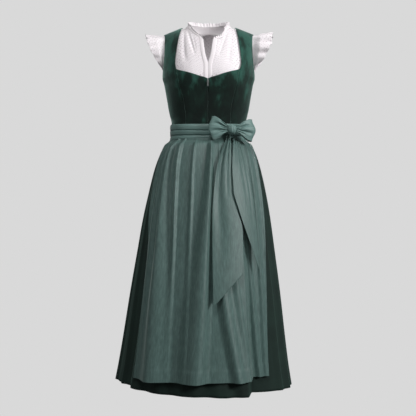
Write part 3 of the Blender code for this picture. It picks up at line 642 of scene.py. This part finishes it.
# The neck seam from the centre back (s = 0) to the front opening (s = 1): its place x, and its
# tilt in degrees from the shoulder ridge, back (negative) or front. The left front's neckline
# hangs open in a corner, the right's runs straight down
NECK_BACK = ((0.0, 0.0, -29.0), (0.04, 0.0084, -29.0), (0.25, 0.052, -21.0), (0.50, 0.083, 0.0))
NECK_SEAM = {"left": table(NECK_COLUMNS, *NECK_BACK, (0.64, 0.066, 26.0), (0.76, 0.051, 44.0),
                           (0.88, 0.034, 48.0), (1.0, 0.0195, 50.0)),
             "right": table(NECK_COLUMNS, *NECK_BACK, (0.75, 0.056, 33.0), (1.0, 0.019, 50.0))}
# Half the width of the front opening at each level
SLIT = table("z x", (-0.30, 0.0008), (-0.1480, 0.0008), (-0.105, 0.0110), (-0.045, 0.0195))
BLOUSE_HEM = -0.262
BLOUSE_ARMHOLE_IN = 2.5  # degrees that the blouse's armhole lies inside the bodice's


def neck_seam(s, out):
    """Points of the neck seam on the blouse form, s in -1..1: the left half is positive."""
    x, tilt = (np.where(s > 0, *(curve(rows, column, np.abs(s), key="s") for rows in NECK_SEAM.values()))
               for column in ("x", "tilt"))
    h = 1 - np.abs(tilt) / 90
    t = torso_angle(x, h)
    return torso_point(np.where(tilt > 0, t, 180 - t) * np.where(s < 0, -1, 1), h, out)


def neck_height(t, side, back=False):
    """Height h of the blouse's top edge at angle t from the middle: the neck seam, then the
    shoulder ridge."""
    s = spread(0.5, 0.0, 60) if back else spread(0.5, 1.0, 120)
    x = curve(NECK_SEAM[side], "x", s, key="s")
    h = 1 - np.abs(curve(NECK_SEAM[side], "tilt", s, key="s")) / 90
    angle = torso_angle(x, h)
    order = np.argsort(angle)
    return np.minimum(np.interp(t, angle[order], h[order]), 0.998)


def slit_angle(h):
    """Angle of the front opening's edge at height h."""
    z = BUST_Z + np.where(h < 0, h, 0.178 * np.sin(np.radians(90 * np.clip(h, 0, 1))))
    return torso_angle(curve(SLIT, "x", z), h)


def blouse_side(h):
    """Angle of the blouse's side seam and armhole, a little inside the bodice's."""
    inside = BLOUSE_ARMHOLE_IN * np.clip(h / 0.1, 0, 1)
    return np.where(h < 0, 89.8, armhole_angle(h) - inside)


def blouse_places(inner, outer, top, rows, across):
    """Angles and heights of a blouse sheet between two edges, from its hem to its top edge, and
    its places across."""
    across, up = np.meshgrid(across, spread(0, 1, rows))
    bottom = BLOUSE_HEM - BUST_Z
    h = bottom + (0.5 - bottom) * up
    for _ in range(8):
        t = inner(h) + (outer(h) - inner(h)) * across
        h = bottom + (top(t) - bottom) * up
    return t, h, across


# Gathers of the blouse's fronts, in places (x, z): each starts at the neck seam and dies away
BLOUSE_CREASES = table(
    "x0 z0 x1 z1 width depth",
    (0.068, -0.012, 0.040, -0.100, 0.0046, 0.0042),
    (0.050, -0.030, 0.034, -0.090, 0.0034, 0.0016),
    (0.084, -0.010, 0.074, -0.125, 0.0060, 0.0030),
    (0.094, -0.060, 0.060, -0.140, 0.0080, 0.0014))


def build_blouse(eyelet, plain):
    """The fronts with their gathers, which lean differently on the two sides, their placket
    bands, the back and the collar."""
    columns, rows = GRIDS["eyelet_front"]
    band_columns, band_rows = GRIDS["placket"]
    for side, lean in (("left", 0.0), ("right", 0.004)):
        top = lambda t: neck_height(np.abs(t), side)
        t, h, _ = blouse_places(slit_angle, blouse_side, top, rows, spread(0, 1, columns))
        place = torso_point(t, h)
        gathers = creases(BLOUSE_CREASES, np.abs(place[..., 0]), place[..., 2], lean)
        cloth(f"eyelet_front_{side}", sided(torso_point(t, h, BLOUSE_OUT - gathers), side), eyelet,
              BLOUSE_CLOTH, f"blouse_front_{side}")
        t, h, across = blouse_places(lambda h: slit_angle(h) - PLACKET_LAP, placket_edge, top,
                                     band_rows, edged(band_columns))
        bulge = 0.0016 * np.sin(math.pi * across) ** 0.5
        grid = torso_point(t, h, BLOUSE_OUT + 0.0008 + bulge)
        cloth(f"placket_band_{side}", sided(grid, side), plain, BLOUSE_CLOTH,
              f"blouse_placket_{side}")
    columns, rows = GRIDS["eyelet_back"]
    back_top = lambda t: neck_height(180 - np.abs(t), "right", back=True)
    t, h, _ = blouse_places(lambda h: 180 + 0 * h, lambda h: 180 - blouse_side(h), back_top, rows,
                            spread(0, 1, columns))
    t, h = t[:, ::-1], h[:, ::-1]
    t = np.concatenate([t, 360 - t[:, -2::-1]], axis=1)
    h = np.concatenate([h, h[:, -2::-1]], axis=1)
    folds = 0.0016 * np.cos(np.radians((t - 180) * 9)) * smooth((h + 0.05) / 0.5)
    cloth("eyelet_back", torso_point(t, h, BLOUSE_OUT - 0.001 + folds), eyelet, BLOUSE_CLOTH,
          "blouse_back")
    build_collar(plain)


PLACKET_WIDTH = 0.0125
PLACKET_LAP = 0.35       # degrees that a placket band reaches past the slit's edge


def placket_edge(h):
    """Angle of the placket band's outer edge at height h."""
    return torso_angle(torso_point(slit_angle(h), h)[..., 0] + PLACKET_WIDTH, h)


# How far the collar rises and leans in from the neck seam, and its frill's height
COLLAR = table(
    "s rise lean frill",
    (0.0, 0.0270, 0.008, 0.0115), (0.05, 0.0270, 0.008, 0.0115), (0.35, 0.0210, 0.010, 0.0105),
    (0.50, 0.0130, 0.010, 0.0095), (0.62, 0.0100, 0.007, 0.0085),
    (0.80, 0.0065, 0.003, 0.0060), (1.0, 0.0045, 0.002, 0.0040))
FRILL_WAVES = 34.0
FRILL_CLOTH = 0.0006


def build_collar(plain):
    """The stand collar, leaning in as it rises, and on its top edge a frill whose small waves
    open outwards. Both get lower towards the open front."""
    columns, rows = GRIDS["collar"]
    s = spread(-1, 1, columns)
    base = neck_seam(s, BLOUSE_OUT + 0.0005)
    inward = (np.array([0.0, -0.012, 0.0]) - base) * [1, 1, 0]
    inward = inward / np.linalg.norm(inward, axis=1, keepdims=True)
    size = {key: curve(COLLAR, key, np.abs(s), key="s")[:, None] for key in ("rise", "lean", "frill")}
    up = spread(0, 1, rows)[:, None, None]
    stand = base + inward * size["lean"] * up**1.4 + np.array([0, 0, 1]) * size["rise"] * up
    stand = stand - inward * 0.0012 * np.sin(math.pi * up)
    cloth("collar_stand", stand[:, ::-1], plain, BLOUSE_CLOTH, "blouse_collar")
    phase = s * math.pi * FRILL_WAVES + 0.9 * np.sin(s * 23.0)
    wave = (np.cos(phase) * (0.75 + 0.25 * np.sin(s * 41.0)))[:, None]
    edge = stand[-1]
    frill = edge + np.array([0, 0, 1]) * size["frill"] * up * (1 - 0.08 * wave * up)
    frill = frill - inward * (0.0018 * up + 0.0026 * wave * up**0.8)
    frill = frill + np.array([0, 0, -0.0015]) * (1 - up)
    cloth("collar_frill", frill[:, ::-1], plain, FRILL_CLOTH, "blouse_collar_ruffle")


SLEEVE_END = 150.0       # degrees round the arm from the sleeve's top to each of its ends
SLEEVE_CLOTH = 0.0008
ARM_X = 0.155            # where across the ridge the sleeve's seam takes its height
# How far each flutter sleeve stands out, from its back end round its top to its front end
SLEEVE = table(
    "around left right",
    (-150.0, 0.003, 0.003), (-120.0, 0.020, 0.018), (-92.0, 0.042, 0.038),
    (-60.0, 0.054, 0.052), (0.0, 0.070, 0.066), (50.0, 0.067, 0.060),
    (80.0, 0.056, 0.048), (104.0, 0.042, 0.034), (128.0, 0.022, 0.016),
    (150.0, 0.003, 0.003))
ARM_MIDDLE_Z, ARM_HALF_HEIGHT, ARM_HALF_DEPTH = -0.088, 0.066, 0.062
SLEEVE_UNDER = -0.0025   # the seam lies just under the armhole edge
# Waves of each sleeve's sheet: how many to the full turn, height in metres, and start angle
SLEEVE_WAVES = {"left": ((10.0, 0.0070, 0.7), (17.0, 0.0022, 2.1), (4.0, 0.0050, 1.2)),
                "right": ((8.0, 0.0045, 1.9), (19.0, 0.0016, 0.4), (5.0, 0.0035, 2.6))}


def sleeve_grid(side, rows, columns):
    """A flutter sleeve: from its seam under the bodice's armhole edge the sheet stands out
    sideways by the reach and opens to an ellipse, and waves grow towards its free edge."""
    out, around = np.meshgrid(spread(0, 1, rows), spread(-SLEEVE_END, SLEEVE_END, columns),
                              indexing="ij")
    turn = np.radians(around)
    reach = curve(SLEEVE, side, around, key="around")
    wave = sum(high * np.sin(turn * count + start) for count, high, start in SLEEVE_WAVES[side])
    wave = wave * out**0.8 * reach / 0.07
    grow = 1 + 0.10 * out * reach / 0.07 + wave / ARM_HALF_HEIGHT
    h = torso_height(ARM_X, ARM_MIDDLE_Z + ARM_HALF_HEIGHT * np.cos(turn))
    edge = armhole_angle(h)
    seam = torso_point(np.where(turn > 0, edge, 180 - edge), h, SLEEVE_UNDER)
    x = seam[..., 0] + out * reach * (1 + 0.03 * np.sin(turn * 13 + 1.0))
    y = -ARM_HALF_DEPTH * np.sin(turn) * grow
    z = ARM_MIDDLE_Z + ARM_HALF_HEIGHT * np.cos(turn) * grow - 0.006 * out**2 * np.cos(turn)
    opened = smooth(out * 2.2)
    return np.stack([x, seam[..., 1] + (y - seam[..., 1]) * opened,
                     seam[..., 2] + (z - seam[..., 2]) * opened], -1)


def build_sleeves(eyelet):
    columns, rows = GRIDS["flutter"]
    for side in ("left", "right"):
        cloth(f"flutter_{side}", sided(sleeve_grid(side, rows, columns), side), eyelet,
              SLEEVE_CLOTH, f"sleeve_{side}")


# ---------------------------------------------------------------- skirt and apron

# Angles of the apron's two side edges at each level
APRON_EDGES = table(
    "z right left",
    (-0.380, -76.0, 76.0), (-0.540, -64.0, 63.0), (-0.610, -60.0, 60.0),
    (-0.780, -52.0, 54.0), (-0.950, -49.5, 50.0), (-1.220, -47.0, 45.0))

# Each fold's angle at the waist, half way and at the hem, its half width and depth at the top and
# at the hem, and how much steeper one of its sides is
FOLD_COLUMNS = "waist middle hem top_width width top_depth depth steep"
SKIRT_DRAPE = table(
    FOLD_COLUMNS,
    (-171, -170, -171, 4, 9, 0.003, 0.024, 1.3),
    (-159, -158, -157, 3, 5, 0.002, 0.010, -1.6),
    (-147, -146, -147, 4, 9, 0.003, 0.027, -1.4),
    (-136, -136, -137, 3, 4, 0.002, 0.008, 1.5),
    (-125, -125, -124, 4, 9, 0.003, 0.021, 1.6),
    (-112, -113, -114, 3, 5, 0.002, 0.008, 1.4),
    (-102, -101, -100, 4, 8, 0.003, 0.012, -1.5),
    (-86, -84, -82, 4, 8, 0.003, 0.008, 1.4),
    (-70, -67, -63, 3, 6, 0.002, 0.007, -1.6), (61, 60, 60, 3, 7, 0.002, 0.006, 1.5),
    (76, 75, 74, 4, 8, 0.003, 0.007, 1.5), (90, 89, 88, 3, 6, 0.002, 0.005, -1.5),
    (104, 103, 103, 4, 9, 0.003, 0.015, 1.5), (117, 116, 115, 3, 4, 0.002, 0.008, -1.5),
    (126, 126, 125, 4, 9, 0.003, 0.025, -1.5), (138, 137, 137, 3, 4, 0.002, 0.009, 1.4),
    (148, 148, 148, 4, 9, 0.003, 0.021, 1.6), (160, 159, 159, 3, 5, 0.002, 0.009, -1.3),
    (169, 169, 169, 4, 9, 0.003, 0.026, -1.4))
# Under the apron the skirt only shows at its hem, in shallow inward waves
SKIRT_FRONT_WAVES = table(
    FOLD_COLUMNS,
    (-36, -37, -38, 4, 8, 0, -0.008, 1), (-16, -17, -18, 4, 8, 0, -0.007, 1),
    (2, 3, 3, 4, 8, 0, -0.009, 1), (18, 19, 20, 4, 6, 0, -0.006, 1))

APRON_DRAPE = table(
    FOLD_COLUMNS,
    (-66, -57, -48, 4.0, 5.5, 0.0050, 0.003, 1.2),
    (-56, -50, -40, 3.5, 6.0, 0.0050, 0.003, -1.2),
    (-44.0, -37, -31.0, 4.5, 14.5, 0.0150, 0.030, -1.3),
    (-31.0, -24.0, -20.0, 4.2, 5.0, 0.0180, 0.001, 2.6),
    (-14.0, -11, -10.0, 3.0, 4.0, 0.0090, 0.003, 1.6),
    (4.5, 0.5, -3.0, 5.0, 13.5, 0.0170, 0.031, 1.9),
    (13.0, 10.0, 23.0, 3.2, 9.0, 0.0015, 0.022, -1.6),
    (24.0, 22.0, 31.0, 3.5, 5.5, 0.0015, 0.006, 1.6),
    (36.0, 34.0, 37.5, 4.0, 5.0, 0.0030, 0.008, -1.8),
    (50.0, 46.0, 43.0, 4.5, 4.5, 0.0065, 0.005, -1.6),
    (64.0, 56.0, 47.0, 4.5, 3.5, 0.0050, 0.004, -1.5))


def build_skirt(twill):
    """Two gathered panels: the skirt form with its hanging folds, pressed flat under the apron."""
    columns, rows = GRIDS["twill"]
    for name, start, end in (("front", -89.9, 89.9), ("back", 90.1, 269.9)):
        t, up = np.meshgrid(spread(start, end, columns), spread(0, 1, rows) ** 1.1)
        hem = HEM_Z + HEM_TILT * skirt_point(t, np.full_like(t, HEM_Z))[..., 0]
        z = hem + (WAIST_SEAM - 0.0003 - hem) * up
        around = np.where(t > 180, t - 360, t)
        lift = drape(SKIRT_DRAPE, around, z)
        past = np.maximum(around - curve(APRON_EDGES, "left", z),
                          curve(APRON_EDGES, "right", z) - around)
        lift = lift * smooth((past - 0.5) / 7) + drape(SKIRT_FRONT_WAVES, around, z)
        lift = lift * smooth((BAND_BOTTOM - z) / 0.04)
        cloth(f"twill_{name}", skirt_point(t, z, lift), twill, SKIRT_CLOTH, f"skirt_{name}")


BAND_DRAW = 0.0035       # how far the band draws in below the waist seam
BAND_FOLDS = table(
    "place bulge", (0.0, 0.0), (0.02, 0.0026), (0.13, 0.0036), (0.27, 0.0004),
    (0.30, 0.0034), (0.50, 0.0046), (0.60, 0.0006), (0.63, 0.0036), (0.80, 0.0046),
    (0.97, 0.0024), (1.0, 0.0))


def build_apron(sage, ribbon):
    """The pleated panel, its band laid in three soft folds, and the tie round the back."""
    columns, rows = GRIDS["apron"]
    across, up = np.meshgrid(edged(columns, tight=0.35), edged(rows, tight=0.3) ** 1.1)
    z = APRON_HEM_Z + (BAND_BOTTOM + 0.003 - APRON_HEM_Z) * up
    right = curve(APRON_EDGES, "right", z)
    t = right + (curve(APRON_EDGES, "left", z) - right) * across
    lift = drape(APRON_DRAPE, t, z)
    lift = APRON_OUT + lift * (0.35 + 0.65 * smooth((BAND_BOTTOM - z) / 0.03))
    above_hem = z - APRON_HEM_Z
    lift = lift + 0.0009 * (1 - smooth((above_hem - 0.0365) / 0.005))
    lift = lift - 0.0003 * np.exp(-(((above_hem - 0.0400) / 0.0016) ** 2))
    cloth("apron_sheet", skirt_point(t, z, lift, APRON_DELAY), sage, APRON_CLOTH, "apron_panel")
    columns, rows = GRIDS["band"]
    for name, node, start, end in (("band_front", "apron_band", -88.0, 88.0),
                                   ("band_back", "apron_tie_back", 88.3, 271.7)):
        t, up = np.meshgrid(spread(start, end, columns), spread(0, 1, rows))
        top = BAND_TOP - BAND_DIP * np.clip(np.cos(np.radians(t)), 0, 1)
        z = BAND_BOTTOM + (top - BAND_BOTTOM) * up
        drift = up + 0.05 * np.sin(np.radians(t * 1.4 + 30)) * np.sin(math.pi * up)
        out = BAND_OUT - BAND_DRAW * smooth((0.55 - up) / 0.55)
        out = out + curve(BAND_FOLDS, "bulge", drift, key="place")
        cloth(name, torso_point(t, z - BUST_Z, out), ribbon, APRON_CLOTH, node, turned=True)


# ---------------------------------------------------------------- bow

# Middle of the knot, from which the loops start
KNOT = np.array([0.0815, -0.1200, -0.3530])
KNOT_SIDE = 0.0105       # how far out from the knot's middle its loops start
# Each loop: its direction, its length, the y of its end, and its end's top and bottom above the knot
LOOPS = {"right": (-1.0, 0.064, -0.128, 0.040, -0.034), "left": (1.0, 0.060, -0.094, 0.033, -0.040)}
LOOP_HALF_DEPTH = 0.011
LOOP_GAPE = 0.0035       # how far a loop's back hangs below its front
# Middle and half size of the ribbon wound round the knot
WRAP = np.array([0.0798, -0.1225, -0.3555])
WRAP_HALF = np.array([0.0142, 0.0125, 0.0135])
# Folds round the knot's wrap: place (the sine of the angle round it), width and depth
WRAP_FOLDS = ((0.25, 0.16, 0.10), (-0.45, 0.14, 0.08))
# Each tail's inner and outer edge at each level, and how far it lies out from the skirt form
TAIL_RIGHT = table(
    "z inner outer out",
    (-0.3700, 0.0660, 0.0750, 0.029), (-0.4050, 0.0550, 0.0760, 0.021),
    (-0.4400, 0.0420, 0.0765, 0.021), (-0.5000, 0.0275, 0.0780, 0.021),
    (-0.5650, 0.0205, 0.0840, 0.021), (-0.6250, 0.0165, 0.0990, 0.022),
    (-0.6900, 0.0162, 0.1137, 0.023), (-0.9300, 0.0200, 0.1160, 0.030))
TAIL_LEFT = table(
    "z inner outer out",
    (-0.3700, 0.0850, 0.0970, 0.034), (-0.4050, 0.0835, 0.1080, 0.026),
    (-0.4870, 0.0800, 0.1317, 0.028), (-0.5470, 0.0835, 0.1437, 0.029),
    (-0.6070, 0.0860, 0.1517, 0.030), (-0.6670, 0.0890, 0.1576, 0.030),
    (-0.7300, 0.0930, 0.1629, 0.030), (-0.8300, 0.1000, 0.1690, 0.030))
# Creases that spread from the knot over each loop: height across the ribbon, width, depth and how
# far they run out
LOOP_CREASES = table(
    "place width depth reach",
    (0.12, 0.040, 0.0050, 0.60), (0.30, 0.060, 0.0110, 0.95),
    (0.50, 0.040, 0.0060, 0.45), (0.66, 0.065, 0.0105, 0.85),
    (0.86, 0.045, 0.0055, 0.55))


def loop_grid(side, length, end_y, top, bottom, rows, columns):
    """A bow loop: the ribbon leaves the knot in front, turns at its end and comes back behind.
    Its depth follows half an ellipse along it, its height fans out from the knot, and creases
    spread from the knot and fade towards the end."""
    up, along = np.meshgrid(spread(0, 1, rows), spread(0, math.pi, columns), indexing="ij")
    far = np.sin(along) ** 0.8
    low = -0.010 + (bottom + 0.010) * smooth(far * 1.08) ** 0.9
    high = 0.010 + (top - 0.010) * smooth(far * 1.12) ** 0.85
    x = KNOT[0] + side * (KNOT_SIDE + length * far - 0.006 * far * np.cos(up * 2 * math.pi))
    y = KNOT[1] + (end_y - KNOT[1]) * far
    relief = sum(depth * np.exp(-(((up - place - 0.05 * np.sin(far * 3)) / (width * (0.5 + far))) ** 2))
                 * np.clip(1 - far / reach, 0, 1) ** 0.7
                 for place, width, depth, reach in zip(*LOOP_CREASES.values()))
    swell = 0.003 * np.sin(math.pi * up) * far
    y = y - np.cos(along) * (0.004 + (LOOP_HALF_DEPTH - 0.004) * np.sin(along) ** 0.5 + swell)
    y = y + relief * np.sign(np.cos(along)) * np.abs(np.cos(along)) ** 0.3
    low = low + LOOP_GAPE * np.cos(along) * far
    return np.stack([x, y, KNOT[2] + low + (high - low) * up], -1)


def tail_grid(rows_table, end_inner, end_outer, rows, columns, ripples):
    """A bow tail lying on the apron, from the knot down to its slanted end, with ripples that run
    down from the knot: each has a place across, a width, a depth and a length."""
    across, down = np.meshgrid(edged(columns, tight=0.3), spread(1, 0, rows))
    top = rows_table["z"].max()
    z = top + (end_inner + (end_outer - end_inner) * across - top) * down
    inner, outer = curve(rows_table, "inner", z), curve(rows_table, "outer", z)
    x = inner + (outer - inner) * across
    level = np.minimum(z, BAND_BOTTOM + 0.01)
    half_width = curve(SKIRT, "half_width", level)
    part = np.clip(np.abs(x - curve(SKIRT, "shift", level)) / half_width, 0, 0.999)
    front = curve(SKIRT, "front", level) + curve(rows_table, "out", z)
    y = -front * (1 - part**SKIRT_POWER) ** (1 / SKIRT_POWER)
    near_knot = np.clip((z - BAND_BOTTOM) / 0.02, 0, 1)
    relief = sum(depth * np.exp(-(((across - place - drift * down) / width) ** 2))
                 * np.clip(1 - down / reach, 0, 1) ** 0.8
                 for place, drift, width, depth, reach in ripples)
    return np.stack([x, y - 0.006 * near_knot + relief, z], -1)


# Ripples of each tail: place across, drift, width, depth and length
TAIL_RIPPLES = {"right": ((0.20, 0.12, 0.17, 0.0130, 0.85), (0.72, -0.06, 0.07, 0.0060, 0.45)),
                "left": ((0.30, 0.0, 0.07, 0.0050, 0.40), (0.58, 0.14, 0.09, 0.0050, 0.70),
                         (0.85, -0.02, 0.05, 0.0040, 0.80))}
# Where each tail's slanted end lies at its inner and its outer edge
TAIL_ENDS = {"right": (-0.925, -0.822), "left": (-0.565, -0.817)}


def build_bow(sage, ribbon):
    columns, rows = GRIDS["loop"]
    for side, row in LOOPS.items():
        grid = loop_grid(*row, rows, columns)
        cloth(f"bow_{side}", grid if side == "left" else grid[:, ::-1], ribbon, APRON_CLOTH,
              f"bow_loop_{side}", turned=True)
    columns, rows = GRIDS["wrap"]
    angle, rise = np.meshgrid(spread(0, 2 * math.pi, columns), np.radians(spread(-90, 90, rows)))
    fold = 1 - sum(depth * np.exp(-((np.sin(angle) - place) / width) ** 2) * np.cos(rise)
                   for place, width, depth in WRAP_FOLDS)
    width = np.cos(rise) ** 0.45 * fold
    ball = WRAP + WRAP_HALF * np.stack([np.sin(angle) * width * (1 + 0.06 * np.sin(rise * 2)),
                                        -np.cos(angle) * width, np.sin(rise)], -1)
    cloth("bow_wrap", ball, ribbon, 0.0, "bow_knot")
    columns, rows = GRIDS["tail"]
    for side, places in (("right", TAIL_RIGHT), ("left", TAIL_LEFT)):
        grid = tail_grid(places, *TAIL_ENDS[side], rows, columns, TAIL_RIPPLES[side])
        cloth(f"tail_{side}", grid, sage, APRON_CLOTH, f"bow_tail_{side}")


# ---------------------------------------------------------------- zip

TEETH = 74
TOOTH_HALF = (0.0012, 0.0008, 0.00062)   # half a tooth's width, depth and height


def build_zip():
    """Closed teeth as one mesh of small blocks down the slot, staggered left and right, and the
    finishes of the slider, the pull and the tape."""
    h = spread(WAIST_SEAM - BUST_Z + 0.004, -0.0285, TEETH)
    middle = torso_point(np.where(np.arange(TEETH) % 2, 0.25, -0.25), h, -0.0018)
    corner = np.array([(x, y, z) for x in (-1, 1) for y in (-1, 1) for z in (-1, 1)], float)
    points = middle[:, None] + corner * TOOTH_HALF
    quad = np.array([(0, 1, 3, 2), (4, 6, 7, 5), (0, 4, 5, 1), (2, 3, 7, 6), (0, 2, 6, 4), (1, 5, 7, 3)])
    faces = quad + 8 * np.arange(TEETH)[:, None, None]
    teeth = placed("zip_teeth", new_mesh("zip_teeth", points, faces, zip_teeth_resin()))
    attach(teeth, "garment")
    plated = nickel_zinc()
    for node, finish in (("zip_slider", plated), ("zip_pull", plated), ("zip_tape", zip_tape_cloth())):
        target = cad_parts[node].data.materials
        if len(target):
            target[0] = finish
        else:
            target.append(finish)


# ---------------------------------------------------------------- stage

CAMERA_DISTANCE = 2.6
CAMERA_LENS = 65.2       # millimetres
CAMERA_TURN = 1.3        # degrees that the camera stands round towards +X
CAMERA_Z = -0.614
CAMERA_SHIFT = 0.0024    # metres that it stands off the middle towards -X

# The sweep's floor level, and its floor's radius, its bend's and its wall's height in metres
SWEEP_FLOOR = -1.30
SWEEP_REACH, SWEEP_ROUND, SWEEP_WALL = 6.0, 2.0, 8.0
SWEEP_BEND, SWEEP_BENT = 0.45, 0.70      # shares of the way out at which it bends and is upright
SWEEP_GREY = "#d9d9d9"
WORLD_STRENGTH = 0.20
# Each light: its place, what it points at, its size in metres and its power in watts
LIGHTS = {"key": ((2.6, -1.7, 0.6), (0, 0, -0.5), 1.0, 92.0),
          "top": ((-0.2, -1.9, 1.9), (0, 0, -0.1), 1.0, 40.0),
          "fill": ((-2.2, -2.2, 0.3), (0, 0, -0.6), 2.2, 8.0),
          "back": ((0.4, 3.2, 0.5), (0, 0, -0.6), 1.6, 60.0)}


def area_light(name, place, target, size, power):
    data = bpy.data.lights.new(name, "AREA")
    data.energy, data.size = power, size
    made = placed(name, data)
    made.location = place
    aim = np.array(target) - np.array(place)
    yaw, pitch = math.atan2(aim[0], -aim[1]), math.atan2(np.hypot(aim[0], aim[1]), -aim[2])
    made.rotation_euler = (pitch, 0.0, yaw + math.pi)


def build_stage():
    """A pale seamless round sweep, whose floor bends up into its wall, soft lights from the front
    and the back, and the camera. The sweep glows evenly and lights nothing, so that the
    lights and the world's faint glow alone shade the cloth."""
    columns, rows = GRIDS["sweep"]
    turn, along = np.meshgrid(np.radians(spread(0, 360, columns)), spread(0, 1, rows))
    bend = np.clip((along - SWEEP_BEND) / (SWEEP_BENT - SWEEP_BEND), 0, 1) * math.pi / 2
    reach = SWEEP_REACH * np.minimum(along / SWEEP_BEND, 1) + SWEEP_ROUND * np.sin(bend) + 0.001
    wall = SWEEP_WALL * np.clip((along - SWEEP_BENT) / (1 - SWEEP_BENT), 0, 1)
    z = SWEEP_FLOOR + SWEEP_ROUND * (1 - np.cos(bend)) + wall
    grid = np.stack([reach * np.cos(turn), reach * np.sin(turn), z], -1)
    paint, _ = principled("painted_sweep", Roughness=0.9, Specular_IOR_Level=0.0,
                          Base_Color=linear("#000000"), Emission_Color=linear(SWEEP_GREY),
                          Emission_Strength=1.0)
    mesh = new_mesh("sweep", grid, grid_faces(grid), paint)
    mesh.shade_smooth()
    sweep = placed("sweep", mesh)
    sweep.visible_diffuse = False
    sweep.visible_glossy = False
    sweep.visible_shadow = False

    world = bpy.data.worlds.new("studio")
    world.use_nodes = True
    glow = world.node_tree.nodes["Background"].inputs
    glow["Color"].default_value = linear(SWEEP_GREY)
    glow["Strength"].default_value = WORLD_STRENGTH
    bpy.context.scene.world = world
    for name, light in LIGHTS.items():
        area_light(name, *light)
    bpy.context.scene.view_settings.view_transform = "Standard"

    data = bpy.data.cameras.new("camera")
    data.lens = CAMERA_LENS
    turn = math.radians(CAMERA_TURN)
    camera = placed("camera", data)
    camera.location = (CAMERA_DISTANCE * math.sin(turn) - CAMERA_SHIFT,
                       -CAMERA_DISTANCE * math.cos(turn), CAMERA_Z)
    camera.rotation_euler = (math.pi / 2, 0.0, turn)
    bpy.context.scene.camera = camera


def main():
    build_stage()
    velvet, twill = cotton_velvet(), skirt_twill()
    sage = sage_satin("sage_satin_linen", SAGE_SINGLE)
    # The band, the knot and the loops: the same sage cloth with its colours painted lighter, as painted
    # light
    ribbon = sage_satin("sage_satin_linen_painted_lighter", SAGE_PAINTED_LIGHTER)
    eyelet, plain = eyelet_cotton(), plain_cotton()
    build_bodice(velvet)
    build_blouse(eyelet, plain)
    build_sleeves(eyelet)
    build_skirt(twill)
    build_apron(sage, ribbon)
    build_bow(sage, ribbon)
    build_zip()


main()
